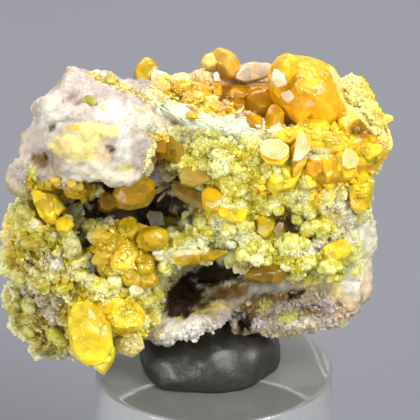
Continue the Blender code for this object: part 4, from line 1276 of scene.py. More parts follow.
# Name, outline in the view, y, half thickness, how far the sides lean to the front, other faces (right, up,
# toward, distance from the middle), sharpness and colour; sparkle and the number of small ones on it, if any
TOP_STONES = stones(
    ("thumb", ((135, 86), (134, 71), (139, 62), (145, 57), (153, 60), (158, 67), (156, 90), (145, 93)),
     2.3, 0.8, 0.25, ((0.1, 0.3, 0.95, 0.7),), 9, "thumb amber"),
    ("thumb's wing", ((150, 67), (159, 65), (168, 74), (174, 86), (180, 98), (172, 101), (160, 99),
     (152, 92)), 1.3, 0.55, 0.3, ((0.1, 0.2, 0.97, 0.5), (-0.3, 0.1, 0.95, 0.52)), 24, "pale wulfenite",
     0.3, 4),
    ("pale step", ((171, 82), (174, 74), (183, 72), (191, 76), (190, 84), (182, 87)),
     2.4, 0.5, 0.3, ((-0.1, 0.74, 0.67, 0.25),), 28, "pale wulfenite", 0.1),
    ("amber under it", ((170, 86), (182, 84), (192, 88), (192, 99), (183, 104), (174, 98)),
     1.6, 0.5, 0.4, ((0.3, 0.3, 0.9, 0.4), (-0.4, 0.1, 0.9, 0.4)), 24, "thumb amber"),
    ("pink stones", ((188, 76), (196, 70), (208, 72), (213, 82), (204, 90), (191, 88)),
     2.3, 0.5, 0.4, ((-0.3, 0.3, 0.9, 0.35),), 18, "tan", 0.3, 26),
    # Painted reflection, partly real: a flat face turned to mirror the lights, coloured pale pink as their
    # reflection
    ("pink tile", ((199, 93), (200, 87), (209, 84), (210, 92)),
     1.3, 0.4, 0.2, ((0.0, 0.74, 0.67, 0.05),), 30, "pink glass"),
    ("orange window", ((210, 82), (222, 84), (222, 94), (219, 100), (212, 94)),
     1.5, 0.6, 0.3, ((0.2, 0.3, 0.93, 0.4),), 18, "honey"),
    ("left amber", ((180, 100), (188, 90), (201, 92), (206, 102), (202, 114), (192, 112)),
     -0.1, 0.6, 0.35, ((-0.3, 0.5, 0.81, 0.38), (0.4, 0.0, 0.92, 0.42)), 26, "thumb amber", 0.0, 8),
    ("bright wedge", ((201, 112), (206, 100), (213, 92), (218, 99), (213, 108), (207, 115)),
     -0.6, 0.6, 0.35, ((0.4, 0.4, 0.82, 0.35), (-0.4, 0.2, 0.9, 0.4)), 26, "pale wulfenite", 0.0, 4),
    ("orange wedge", ((211, 104), (219, 100), (227, 108), (225, 114), (212, 114)),
     -1.0, 0.5, 0.35, ((0.2, 0.6, 0.77, 0.3),), 24, "honey", 0.0, 8),
    ("pale diagonal", ((220, 97), (223, 95), (228, 101), (235, 111), (230, 114), (224, 106)),
     0.9, 0.3, 0.3, ((0.2, 0.6, 0.77, 0.2),), 24, "straw", 0.3, 14),
    ("lens", ((183, 115), (191, 110), (202, 116), (195, 121), (185, 119)),
     -1.9, 0.4, 0.5, ((0.0, 0.6, 0.8, 0.28),), 10, "thumb amber"),
    ("back mass", ((192, 80), (202, 64), (220, 58), (240, 64), (262, 62), (282, 70), (284, 98),
     (240, 102), (200, 98)), 4.6, 0.7, 0.5, ((0.0, 0.6, 0.8, 0.5),), 16, "tan", 0.2, 30),
    ("cream back crystal", ((199, 64), (205, 55), (214, 52), (221, 62), (217, 72), (205, 72)),
     4.6, 0.8, 0.4, ((-0.3, 0.4, 0.87, 0.6),), 9, "straw"),
    ("golden back crystal", ((211, 54), (219, 48), (230, 51), (238, 58), (241, 68), (236, 79), (224, 80),
     (216, 68)), 4.4, 1.0, 0.4, ((0.3, 0.1, 0.95, 0.8), (-0.5, 0.2, 0.84, 0.7)), 10, "old gold"),
    # Painted reflection, partly real: a flat face turned to mirror the lights, coloured pale pink as their
    # reflection
    ("pink fleck behind", ((212, 83), (214, 72), (218, 70), (221, 83)),
     3.2, 0.4, 0.3, ((0.0, 0.74, 0.67, 0.1),), 28, "pink glass"),
    # Painted reflection: the back tablet is coloured pale pink as the reflection on its face
    ("back tablet", ((234, 72), (241, 65), (252, 62), (271, 64), (276, 76), (260, 80), (250, 84),
     (236, 80)), 3.9, 0.7, 0.2, ((-0.05, 0.3, 0.95, 0.62),), 26, "pale pink", 0.1),
    # Painted reflection, partly real: a flat face coloured pale pink as the lights' reflection on it
    ("back tablet's foot", ((234, 80), (249, 81), (261, 77), (276, 81), (275, 89), (252, 93), (238, 90)),
     3.4, 0.6, 0.25, ((0.05, 0.3, 0.95, 0.5),), 24, "pink glass", 0.1),
    ("honey bed", ((205, 88), (226, 82), (250, 84), (282, 84), (288, 110), (268, 124), (244, 120),
     (222, 112), (207, 104)), 2.9, 0.8, 0.5, ((0.0, 0.5, 0.87, 0.8),), 8, "honey", 0.0, 14),
    ("yellow bed", ((160, 94), (172, 84), (196, 82), (212, 88), (214, 108), (200, 118), (182, 112),
     (168, 104)), 0.9, 0.8, 0.5, ((0.0, 0.5, 0.87, 0.8),), 8, "thumb amber", 0.0, 60),
    ("brown honey", ((226, 94), (235, 88), (248, 90), (251, 106), (243, 114), (230, 111)),
     2.2, 0.9, 0.4, ((-0.2, 0.5, 0.84, 0.75),), 14, "honey", 0.0, 6),
    ("clear honey", ((240, 97), (250, 88), (266, 86), (279, 90), (281, 106), (268, 118), (254, 119),
     (243, 112)), 2.2, 1.2, 0.4, ((0.1, 0.3, 0.95, 1.05),), 9, "honey", 0.0, 5),
    # Painted reflection, partly real: a flat face turned to mirror the lights, coloured pale pink as their
    # reflection
    ("pink splinter", ((236, 113), (243, 104), (245, 105), (241, 113)),
     -1.0, 0.3, 0.2, ((0.0, 0.74, 0.67, 0.0),), 30, "pink glass"),
    ("brown tooth", ((244, 115), (252, 113), (262, 117), (262, 128), (250, 128)),
     -1.1, 0.5, 0.3, ((0.0, 0.4, 0.92, 0.35),), 24, "honey"),
    # Painted reflection, partly real: a flat face turned to mirror the lights, coloured pale pink as their
    # reflection
    ("pink tooth", ((253, 119), (261, 117), (261, 128), (256, 127)),
     -1.5, 0.4, 0.2, ((0.0, 0.74, 0.67, 0.0),), 30, "pink glass"),
    ("brown column", ((264, 128), (266, 115), (271, 104), (278, 104), (284, 113), (282, 129), (272, 132)),
     -0.4, 0.7, 0.3, ((0.0, 0.74, 0.67, 0.45), (-0.5, 0.1, 0.86, 0.5), (0.5, 0.1, 0.86, 0.5)), 28,
     "honey", 0.0, 4),
    # Painted reflection, partly real: a flat face turned to mirror the lights, coloured pale pink as their
    # reflection
    ("column's pink face", ((274, 128), (275, 120), (280, 121), (282, 130)),
     -1.2, 0.4, 0.2, ((0.0, 0.74, 0.67, 0.0),), 30, "pink glass"),
    ("big crystal", ((270, 78), (273, 67), (278, 58), (287, 52), (298, 54), (318, 62), (331, 68),
     (342, 86), (347, 101), (344, 112), (332, 127), (321, 134), (308, 132), (294, 125), (282, 113),
     (273, 96)), 1.3, 2.0, 0.4, ((0.0, 0.95, 0.3, 2.05), (0.6, 0.15, 0.8, 1.9), (-0.6, 0.1, 0.8, 1.85),
     (-0.1, -0.4, 0.9, 1.95), (0.1, 0.25, 0.96, 1.8)), 20, "orange"),
    ("big crystal's top left", ((271, 84), (272, 68), (278, 58), (287, 53), (297, 60), (299, 76),
     (292, 88), (280, 91)), 0.6, 1.3, 0.5, ((-0.3, 0.2, 0.93, 1.15),), 18, "orange"),
    # Painted reflection, partly real: two flat faces turned to mirror the lights, coloured pale pink as
    # their reflection
    ("big crystal's mirror face", ((271, 80), (274, 65), (281, 64), (287, 84), (277, 88)),
     -0.7, 0.4, 0.2, ((0.0, 0.74, 0.67, 0.1),), 40, "pink glass"),
    ("big crystal's second face", ((281, 93), (290, 89), (294, 98), (288, 104), (283, 99)),
     -1.0, 0.4, 0.2, ((0.0, 0.74, 0.67, 0.1),), 40, "pink glass"),
    ("big crystal's rim", ((286, 119), (300, 117), (325, 120), (336, 124), (322, 136), (300, 133)),
     -1.0, 0.6, 0.5, ((0.0, 0.5, 0.87, 0.5),), 12, "yolk", 0.0, 8),
    ("gold behind the plate", ((332, 110), (345, 98), (362, 118), (366, 138), (350, 140), (336, 130)),
     0.3, 0.7, 0.4, ((0.1, 0.3, 0.95, 0.6),), 14, "orange", 0.1, 20),
    ("drusy plate, upper", ((331, 67), (345, 69), (360, 78), (374, 94), (376, 108), (364, 116),
     (352, 110), (340, 90)), 1.6, 0.5, 0.3, ((-0.05, 0.1, 0.99, 0.46),), 14, "pale wulfenite", 0.05, 60),
    ("drusy plate, lower", ((356, 84), (370, 90), (379, 106), (387, 122), (394, 142), (388, 151),
     (376, 142), (362, 126), (350, 106)), 0.9, 0.5, 0.3, ((0.1, 0.1, 0.98, 0.46),), 14, "pale wulfenite",
     0.05, 60),
    ("amber under the plate", ((338, 116), (350, 108), (364, 120), (376, 136), (372, 146), (352, 146),
     (341, 134)), -0.6, 0.6, 0.4, ((0.1, 0.3, 0.95, 0.5),), 16, "orange", 0.1, 16),
    ("hollow crystal", ((350, 124), (356, 119), (364, 125), (366, 136), (355, 140)),
     -0.2, 0.5, 0.4, ((-0.3, 0.5, 0.81, 0.4),), 20, "honey", 0.1, 14),
    ("right mass", ((340, 136), (356, 130), (378, 134), (391, 146), (386, 157), (374, 170), (356, 176),
     (342, 162)), -1.5, 1.3, 0.5, ((0.2, 0.4, 0.9, 1.15), (0.5, -0.2, 0.85, 1.15)), 16, "orange", 0.1, 40),
    ("right bulge", ((356, 146), (366, 138), (380, 140), (390, 148), (382, 160), (368, 168), (357, 160)),
     -1.9, 1.0, 0.5, ((0.2, 0.4, 0.9, 0.9),), 16, "yolk"),
    ("orange bank", ((300, 140), (318, 132), (345, 131), (358, 140), (352, 152), (325, 156), (305, 152)),
     -2.4, 0.7, 0.4, ((0.0, 0.6, 0.8, 0.5),), 12, "yolk", 0.2, 30),
)
# On the green wall below them and in the shelf, each piece with the CAD node that it stands for
WALL_STONES = {
    "hexagonal_tablet": ("wulfenite_hexagonal_tablet", stones(
        ("hexagonal tablet", ((261, 148), (266, 140), (278, 139), (288, 147), (288, 157), (282, 165),
         (268, 164), (262, 157)), -4.0, 0.8, 0.2, ((0.0, 0.5, 0.87, 0.1),), 30, "yolk"),
        # Painted reflection, partly real: a flat face coloured pale as the lights' reflection on it
        ("hexagonal tablet's face", ((261, 148), (266, 140), (278, 139), (288, 147), (287, 155),
         (280, 160), (270, 159), (262, 154)), -4.05, 0.8, 0.15, ((0.0, 0.5, 0.87, 0.17),), 32, "shell"),
        ("yolk foot", ((262, 162), (276, 156), (298, 156), (302, 172), (292, 188), (276, 194),
         (261, 182)), -3.75, 0.7, 0.4, ((-0.1, 0.5, 0.86, 0.5), (0.3, 0.0, 0.95, 0.62)), 14, "lemon",
         0.1, 12),
        ("yellow shoulder", ((276, 136), (282, 129), (296, 131), (300, 140), (290, 146), (279, 143)),
         -2.8, 0.6, 0.4, ((0.1, 0.6, 0.79, 0.35),), 22, "yolk", 0.1, 8),
    )),
    "blade": ("wulfenite_blade", stones(
        # Painted reflection, partly real: a flat face coloured pale as the lights' reflection on it
        ("blade's mirror face", ((301, 123), (305, 135), (311, 148), (301, 160), (293, 160), (296, 142)),
         -4.1, 0.8, 0.15, ((0.2, 0.4, 0.9, 0.1),), 44, "shell"),
        ("blade's left side", ((300, 130), (297, 150), (292, 162), (286, 164), (289, 150), (295, 138)),
         -3.4, 0.4, 0.5, ((-0.6, 0.2, 0.77, 0.2),), 26, "yolk"),
        ("blade's foot", ((309, 147), (310, 157), (303, 168), (294, 178), (283, 186), (285, 177),
         (293, 165), (300, 156)), -4.0, 0.5, 0.5, ((0.5, 0.1, 0.86, 0.3),), 26, "orange"),
    )),
    "right_tablets": ("wulfenite_right_tablets", stones(
        ("right tablet", ((342, 157), (346, 150), (354, 151), (359, 159), (356, 171), (351, 178),
         (344, 178), (342, 168)), -3.6, 0.8, 0.2, ((0.12, 0.5, 0.87, 0.1),), 30, "yolk"),
        # Painted reflection, partly real: a flat face coloured pale as the lights' reflection on it
        ("right tablet's face", ((342, 157), (346, 150), (354, 151), (359, 159), (356, 167), (348, 170),
         (343, 166)), -3.65, 0.8, 0.15, ((0.12, 0.5, 0.87, 0.24),), 32, "shell"),
        ("body of the row", ((284, 164), (300, 154), (322, 150), (342, 152), (354, 166), (348, 180),
         (322, 185), (294, 182)), -2.9, 0.9, 0.5, ((0.0, 0.3, 0.95, 0.85),), 12, "deep orange"),
        ("its left neighbour", ((332, 157), (337, 150), (345, 151), (346, 172), (338, 175), (333, 169)),
         -3.2, 0.6, 0.4, ((-0.4, 0.3, 0.87, 0.35),), 26, "yolk", 0.0, 4),
        ("orange block", ((320, 160), (327, 157), (334, 161), (335, 174), (328, 182), (321, 177)),
         -3.5, 0.6, 0.4, ((0.3, 0.1, 0.95, 0.42),), 26, "orange"),
        ("deep orange block", ((306, 161), (314, 155), (322, 160), (323, 172), (315, 180), (307, 173)),
         -3.7, 0.6, 0.4, ((-0.3, 0.1, 0.95, 0.4), (0.4, 0.4, 0.82, 0.4)), 26, "deep orange"),
    )),
    "stub_left": ("wulfenite_stub_left", stones(
        ("left stub", ((202, 193), (210, 185), (220, 188), (224, 199), (220, 212), (209, 214),
         (203, 205)), -3.9, 0.65, 0.4, ((-0.5, 0.2, 0.84, 0.45), (0.4, 0.5, 0.77, 0.42)), 26, "orange"),
        # Painted reflection, partly real: a face turned to mirror the lights, coloured pale straw as their
        # reflection
        ("left stub's pink face", ((205, 200), (211, 198), (218, 206), (212, 210), (206, 205)),
         -4.5, 0.35, 0.3, ((-0.1, 0.74, 0.67, 0.05),), 28, "straw"),
    )),
    "stub_right": ("wulfenite_stub_right", stones(
        ("right stub", ((217, 204), (220, 198), (243, 201), (247, 209), (244, 222), (230, 222),
         (219, 216)), -4.4, 0.45, 0.25, ((0.0, 0.74, 0.67, 0.2),), 26, "yolk", 0.0, 5),
    )),
    "ghost_tablet": ("wulfenite_ghost_tablet", stones(
        ("ghost tablet", ((180, 176), (186, 167), (204, 166), (213, 171), (209, 181), (194, 187),
         (182, 184)), -3.9, 0.4, 0.25, ((0.1, 0.5, 0.86, 0.2),), 30, "ghost"),
    )),
    "pocket_crystal": ("wulfenite_pocket", stones(
        ("pocket crystal", ((257, 219), (265, 212), (274, 216), (275, 229), (266, 238), (258, 232)),
         -3.8, 0.5, 0.4, ((-0.4, 0.2, 0.89, 0.36), (0.4, 0.3, 0.87, 0.38)), 26, "cluster gold"),
    )),
    "shelf_tablet": ("wulfenite_shelf_tablet", stones(
        ("shelf tablet", ((232, 266), (242, 261), (270, 263), (288, 272), (284, 281), (262, 283),
         (243, 279)), -4.6, 0.8, 0.3, ((-0.05, 0.7, 0.71, 0.3),), 22, "dull amber"),
    )),
    "pillow": ("wulfenite_pillow", stones(
        ("pillow", ((137, 239), (142, 229), (154, 226), (165, 230), (169, 239), (163, 249), (150, 251),
         (140, 247)), -4.3, 0.8, 0.5, ((0.1, 0.4, 0.91, 0.7),), 8, "cluster gold"),
    )),
    "pendant": ("wulfenite_pendant", stones(
        ("pendant", ((27, 190), (36, 185), (50, 183), (57, 195), (58, 207), (56, 219), (52, 233),
         (45, 228), (36, 211)), -3.5, 0.6, 0.5, ((-0.6, 0.1, 0.79, 0.35), (0.4, 0.2, 0.89, 0.42)), 22,
         "yolk", 0.0, 4),
        ("pendant's step", ((53, 196), (59, 198), (65, 208), (59, 217), (53, 214)),
         -3.6, 0.4, 0.5, ((0.3, 0.1, 0.95, 0.3),), 24, "yolk"),
        ("lump beside it", ((55, 222), (62, 217), (71, 219), (74, 226), (68, 233), (58, 232)),
         -4.7, 0.5, 0.5, ((0.1, 0.4, 0.91, 0.4),), 7, "yolk"),
    )),
    "yellow_plates": ("yellow_sheet", stones(
        ("sheet, golden", ((344, 170), (358, 164), (361, 198), (358, 230), (351, 226), (347, 200)),
         0.9, 0.4, 0.4, ((-0.3, 0.1, 0.95, 0.36),), 16, "golden", 0.1),
        ("sheet, lemon", ((357, 164), (371, 172), (370, 196), (364, 214), (361, 236), (355, 222),
         (356, 190)), 0.7, 0.4, 0.4, ((0.3, 0.1, 0.95, 0.36),), 16, "lemon", 0.1),
    )),
    "lemon_crystals": ("wulfenite_lemon", stones(
        ("lemon oval", ((68, 325), (72, 302), (82, 290), (94, 292), (103, 305), (110, 326), (112, 346),
         (100, 363), (84, 362), (72, 348)), -5.9, 0.9, 0.4, ((-0.35, 0.25, 0.9, 0.8),
         (0.4, 0.3, 0.87, 0.72), (0.1, -0.3, 0.95, 0.85)), 14, "lemon", 0.2),
        ("lemon tip", ((88, 354), (104, 342), (116, 346), (113, 362), (104, 374), (95, 368)),
         -5.0, 0.6, 0.5, ((0.1, 0.3, 0.95, 0.5), (-0.4, 0.1, 0.9, 0.45)), 16, "lemon", 0.2, 5),
        ("orange heart", ((103, 304), (118, 297), (137, 301), (146, 314), (140, 329), (122, 333),
         (106, 327)), -5.0, 0.8, 0.5, ((0.1, 0.4, 0.91, 0.6),), 14, "yolk", 0.2, 24),
        ("white prisms", ((129, 290), (131, 285), (143, 286), (144, 292), (136, 297)),
         -5.1, 0.3, 0.3, ((0.1, 0.5, 0.86, 0.2),), 26, "mint", 0.3, 8),
        ("pale foot", ((116, 338), (128, 332), (142, 336), (144, 348), (132, 357), (119, 352)),
         -4.7, 0.6, 0.5, ((0.2, 0.2, 0.96, 0.5),), 16, "butter", 0.5, 40),
    )),
}
# Small crystals on the block, golden sheets on the right wall and the rim of the arc below the hollow
RIGHT_GOLD = stones(
    ("block, olive crystal", ((81, 99), (86, 95), (94, 96), (97, 102), (94, 109), (86, 110)),
     -3.3, 0.4, 0.3, ((-0.2, 0.5, 0.84, 0.3),), 22, "moss", 0.1),
    ("block, lemon bit", ((98, 106), (102, 104), (106, 106), (103, 110), (99, 110)),
     -4.0, 0.25, 0.3, ((0.1, 0.5, 0.86, 0.15),), 22, "butter", 0.1),
    ("block, skyline crystal", ((105, 83), (107, 75), (111, 71), (115, 76), (116, 84)),
     0.1, 0.35, 0.3, ((-0.3, 0.3, 0.9, 0.25),), 22, "straw", 0.1),
    ("arc's rim, left", ((167, 257), (178, 250), (196, 249), (207, 253), (202, 262), (186, 266),
     (172, 263)), -4.75, 0.35, 0.5, ((-0.1, 0.1, 0.99, 0.3),), 12, "cluster gold", 0.1),
    ("arc's rim, right", ((197, 254), (212, 250), (226, 244), (233, 247), (224, 256), (209, 263),
     (198, 264)), -4.75, 0.3, 0.5, ((0.05, 0.1, 0.99, 0.28),), 12, "cluster gold", 0.1),
    ("shelf's golden slab", ((317, 254), (328, 244), (344, 239), (352, 246), (347, 257), (330, 263)),
     -3.95, 0.4, 0.4, ((-0.1, 0.35, 0.93, 0.36),), 14, "lemon", 0.2),
    ("wall sheet, golden", ((348, 172), (358, 164), (369, 167), (371, 188), (368, 208), (360, 224),
     (351, 212)), -3.0, 0.45, 0.3, ((-0.25, 0.1, 0.96, 0.42), (0.2, 0.05, 0.98, 0.44)), 20, "yolk", 0.1,
     12),
    ("wall sheet, lemon", ((362, 166), (371, 169), (374, 186), (371, 204), (365, 220), (360, 206)),
     -2.4, 0.5, 0.3, ((0.3, 0.1, 0.95, 0.45),), 20, "lemon", 0.1),
)
# In the large hollow and under the block
HOLLOW_STONES = stones(
    ("bead", ((114, 195), (118, 184), (130, 178), (144, 177), (153, 183), (154, 194), (147, 205),
     (133, 210), (120, 207)), -5.3, 0.9, 0.4, ((-0.1, 0.3, 0.95, 0.85),), 14, "bead amber"),
    ("amber behind the bead", ((98, 200), (106, 192), (118, 196), (120, 208), (108, 214), (99, 210)),
     -1.9, 0.6, 0.4, ((0.1, 0.4, 0.91, 0.5),), 12, "dull amber"),
    ("under the block", ((61, 182), (72, 174), (86, 178), (92, 190), (82, 199), (67, 197)),
     -3.7, 0.7, 0.5, ((0.1, 0.2, 0.97, 0.6),), 10, "cluster gold", 0.3, 14),
    ("under the block, left", ((37, 179), (45, 171), (58, 173), (63, 184), (52, 191), (40, 189)),
     -3.0, 0.6, 0.5, ((0.1, 0.2, 0.97, 0.5),), 10, "cluster gold", 0.3, 14),
    ("amber root", ((113, 229), (120, 219), (134, 220), (141, 230), (134, 240), (119, 239)),
     -3.4, 0.6, 0.5, ((0.1, 0.5, 0.86, 0.5),), 14, "cluster gold", 0.2, 8),
)
# The yellow cluster below the hollow
CLUSTER_STONES = stones(
    ("cluster, left", ((94, 238), (101, 226), (116, 229), (121, 245), (112, 256), (98, 253)),
     -4.4, 0.7, 0.5, ((-0.1, 0.4, 0.91, 0.55),), 10, "cluster gold", 0.3, 14),
    ("cluster, middle", ((106, 254), (115, 243), (134, 244), (142, 258), (132, 274), (113, 272)),
     -4.4, 0.8, 0.5, ((0.1, 0.4, 0.91, 0.6),), 10, "golden", 0.4, 34),
    ("cluster, right", ((129, 254), (140, 248), (152, 255), (157, 268), (148, 278), (135, 273)),
     -4.4, 0.7, 0.5, ((0.1, 0.4, 0.91, 0.55),), 8, "cluster gold", 0.3, 14),
    ("cluster, low lobe", ((137, 277), (142, 271), (153, 270), (160, 278), (156, 287), (143, 288)),
     -4.7, 0.6, 0.5, ((0.1, 0.3, 0.95, 0.5),), 7, "cluster gold", 0.1),
    ("cluster, low left", ((103, 266), (110, 259), (120, 263), (122, 274), (112, 279), (104, 274)),
     -4.5, 0.6, 0.5, ((0.1, 0.3, 0.95, 0.5),), 8, "olive", 0.4, 10),
)
# Thin clear crystals of the large hollow and the pocket
CLEAR_STONES = stones(
    ("brown blade", ((172, 184), (180, 179), (191, 186), (208, 202), (212, 216), (199, 213), (183, 201),
     (174, 197)), -2.7, 0.22, 0.6, ((0.2, 0.4, 0.89, 0.2),), 30, "ghost"),
    ("thin blade", ((153, 191), (171, 179), (175, 182), (158, 194)),
     -2.4, 0.08, 0.4, ((0.1, 0.6, 0.79, 0.06),), 30, "smoke"),
    ("second thin blade", ((152, 184), (172, 180), (173, 182), (153, 187)),
     -2.2, 0.06, 0.4, ((0.1, 0.6, 0.79, 0.05),), 30, "smoke"),
    ("third thin blade", ((157, 200), (171, 184), (173, 186), (159, 202)),
     -2.0, 0.06, 0.4, ((0.1, 0.6, 0.79, 0.05),), 30, "smoke"),
    ("grey tablet", ((147, 215), (150, 211), (162, 212), (164, 225), (151, 226)),
     -2.4, 0.12, 0.3, ((0.1, 0.3, 0.95, 0.08),), 34, "grey glass"),
    ("pocket blade", ((274, 229), (279, 222), (284, 223), (281, 233), (276, 237)),
     -4.2, 0.1, 0.4, ((0.1, 0.3, 0.95, 0.08),), 28, "smoke"),
)


# Tack and rod

# The lump of tack, all in mm: its half sizes and middle, the power of its roundness, how far it goes round
# for each radian and how far above the rod it ends
TACK_HALF = (4.45, 3.95, 2.1)
TACK_MIDDLE = (-0.35, 0.0, 13.1)
TACK_POWER = 2.5
TACK_REACH = 4.2
TACK_LIFT = 0.01
# How far its folds and its fine pits stand out
TACK_FOLDS = 0.16
TACK_PITS = 0.05
# Dents in it: (way round in degrees, height, width, depth)
TACK_DENTS = (
    (-62, 13.9, 1.3, 0.5), (-112, 14.3, 1.6, 0.4), (-30, 13.0, 1.0, 0.35), (140, 13.8, 1.8, 0.5),
    (60, 13.4, 1.4, 0.4),
)
TACK_GRID = (52, 92)
# The rod in mm, the rings of points on its flat ends with the first one's reach and the last one's distance
# from the bevel, the steps over a bevel and the steps round it
ROD_RADIUS = 7.5
ROD_HEIGHT = 12.0
ROD_BEVEL = 0.25
ROD_RINGS = 8
ROD_FIRST_RING = 0.6
ROD_LAST_RING = 0.2
ROD_BEVEL_STEPS = 6
ROD_TURNS = 160


def make_tack(material):
    """A squashed ball: each direction reaches (sum of |part / half size| ** power) ** (-1 / power), pushed
    in by thumb dents and noise, and flat where it sticks to the rod."""
    directions, triangles, quads = ball_grid(*TACK_GRID)
    half = np.array(TACK_HALF)
    reach = np.sum(np.abs(directions / half) ** TACK_POWER, axis=1) ** (-1.0 / TACK_POWER)
    points = directions * reach[:, None] + np.array(TACK_MIDDLE)
    around = np.degrees(np.arctan2(directions[:, 1], directions[:, 0]))
    push = TACK_FOLDS * rough(points, 2.4, 5, 4) + TACK_PITS * rough(points, 0.7, 9, 3)
    for turn, height, width, depth in TACK_DENTS:
        aside = (around - turn + 180.0) % 360.0 - 180.0
        away = np.hypot(np.radians(aside) * TACK_REACH, points[:, 2] - height)
        push -= depth * np.exp(-((away / width) ** 2))
    points = points + directions * push[:, None]
    points[:, 2] = np.maximum(points[:, 2], ROD_HEIGHT + TACK_LIFT)
    lump = make_piece("putty_lump", (points, triangles, quads), material, (0.0, 0.0, 0.0))
    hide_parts("mineral_tack")


def make_rod(material):
    """A profile of reach and height carried round the upright axis, with small bevels at both rims."""
    turn = np.linspace(0.0, 0.5 * np.pi, ROD_BEVEL_STEPS)
    inner = np.linspace(ROD_FIRST_RING, ROD_RADIUS - ROD_BEVEL - ROD_LAST_RING, ROD_RINGS)
    reach = np.concatenate((inner, ROD_RADIUS - ROD_BEVEL * (1.0 - np.sin(turn))))
    height = np.concatenate((np.full(ROD_RINGS, ROD_HEIGHT), ROD_HEIGHT - ROD_BEVEL * (1.0 - np.cos(turn))))
    profile = np.column_stack((reach, height))
    profile = np.concatenate((profile, np.column_stack((reach[::-1], ROD_HEIGHT - height[::-1]))))
    rod = make_piece("clear_rod", cut_form(ROD_TURNS, profile), material, (1.0, 1.0, 1.0))
    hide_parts("acrylic_stand")


# Finishes

# How the shaders' sockets are set where every point of a piece has the same
DRUSE_SURFACE = {
    "IOR": 1.5, "Specular IOR Level": 0.3, "Coat Roughness": 0.06, "Coat IOR": 1.8,
    "Subsurface Scale": 0.3 * MM, "Subsurface Radius": (1.0, 0.75, 0.4),
}
CRYSTAL_SURFACE = {
    "IOR": 1.6, "Specular IOR Level": 0.25, "Coat Roughness": 0.06, "Coat IOR": 1.8,
    "Subsurface Scale": 0.2 * MM, "Subsurface Radius": (1.0, 0.7, 0.25),
}
TACK_SURFACE = {"Specular IOR Level": 0.9}
ROD_SURFACE = {"IOR": 1.49, "Transmission Weight": 0.8, "Base Color": (0.96, 0.975, 0.965, 1.0)}
FLOOR_SURFACE = {"Roughness": 0.9, "Specular IOR Level": 0.1, "Base Color": (0.2, 0.209, 0.237, 1.0)}
TACK_DARK = (0.004, 0.0038, 0.003, 1.0)
TACK_LIGHT = (0.03, 0.029, 0.025, 1.0)
# What a crystal keeps of its tone where it is deepest and where it is palest
CLOUD_DEEP = (1.0, 0.82, 0.5, 1.0)
CLOUD_PALE = (1.05, 1.06, 1.05, 1.0)


def set_inputs(tree, node, inputs):
    """Each of a node's inputs, linked where a socket is given or set where a value is."""
    for key, value in inputs.items():
        if isinstance(value, bpy.types.NodeSocket):
            tree.links.new(value, node.inputs[key])
        else:
            node.inputs[key].default_value = value


def add_node(tree, kind, inputs, **settings):
    """A node with its settings and inputs."""
    node = tree.nodes.new(kind)
    for key, value in settings.items():
        setattr(node, key, value)
    set_inputs(tree, node, inputs)
    return node


def new_finish(name):
    """A material, its node tree and its shader."""
    material = bpy.data.materials.new(name)
    material.use_nodes = True
    tree = material.node_tree
    return material, tree, tree.nodes["Principled BSDF"]


def object_place(tree):
    """The place on the object that is being shaded."""
    return add_node(tree, "ShaderNodeTexCoord", {}).outputs["Object"]


def attribute(tree, name, output="Fac"):
    """What the mesh holds on its points under that name."""
    return add_node(tree, "ShaderNodeAttribute", {}, attribute_name=name).outputs[output]


def mottling(tree, place, grains, detail, roughness=0.5):
    """Noise of so many grains in a millimetre."""
    inputs = {"Vector": place, "Scale": grains / MM, "Detail": detail, "Roughness": roughness}
    return add_node(tree, "ShaderNodeTexNoise", inputs).outputs["Fac"]


def tiny_grains(tree, place, grains):
    """Cells, so many in a millimetre, each with a colour of its own by chance."""
    return add_node(tree, "ShaderNodeTexVoronoi", {"Vector": place, "Scale": grains / MM})


def chance_of(tree, grain, channel):
    """A number from 0 to 1 for each grain."""
    return add_node(tree, "ShaderNodeSeparateColor", {0: grain.outputs["Color"]}).outputs[channel]


def spread(tree, value, low, high, to_low, to_high):
    """A value's range from low to high, stretched to another range."""
    inputs = {"Value": value, "From Min": low, "From Max": high, "To Min": to_low, "To Max": to_high}
    return add_node(tree, "ShaderNodeMapRange", inputs).outputs["Result"]


def colour_mix(tree, share, first, second):
    """The first colour where the share is nought, the second where it is one."""
    inputs = {"Factor": share, "A": first, "B": second}
    return add_node(tree, "ShaderNodeMix", inputs, data_type="RGBA").outputs["Result"]


def number_math(tree, operation, first, second):
    """Two numbers worked into one."""
    return add_node(tree, "ShaderNodeMath", {0: first, 1: second}, operation=operation).outputs[0]


def vector_math(tree, operation, first, second=(0.0, 0.0, 0.0)):
    """Two triples, such as colours or directions, worked into one."""
    return add_node(tree, "ShaderNodeVectorMath", {0: first, 1: second}, operation=operation).outputs[0]


def vector_times(tree, vector, scale):
    """A colour or a direction times a number."""
    return add_node(tree, "ShaderNodeVectorMath", {0: vector, "Scale": scale}, operation="SCALE").outputs[0]


def bumped(tree, height, strength, distance):
    """The way the surface faces, with a relief of that distance in mm."""
    inputs = {"Height": height, "Strength": strength, "Distance": distance * MM}
    return add_node(tree, "ShaderNodeBump", inputs).outputs["Normal"]


def glitter_weight(tree, grain, sparkle):
    """The sparkle on the half of the grains that can flash, nought on the others."""
    flashing = spread(tree, chance_of(tree, grain, 2), 0.5, 0.54, 0.0, 1.0)
    return number_math(tree, "MULTIPLY", sparkle, flashing)


def glitter_normal(tree, grain, share, normal):
    """The way the surface faces, with each tiny grain tilted its own way, by share of a full tilt."""
    centred = vector_math(tree, "SUBTRACT", grain.outputs["Color"], (0.5, 0.5, 0.5))
    leaned = vector_math(tree, "ADD", normal, vector_times(tree, centred, share))
    return vector_math(tree, "NORMALIZE", leaned)


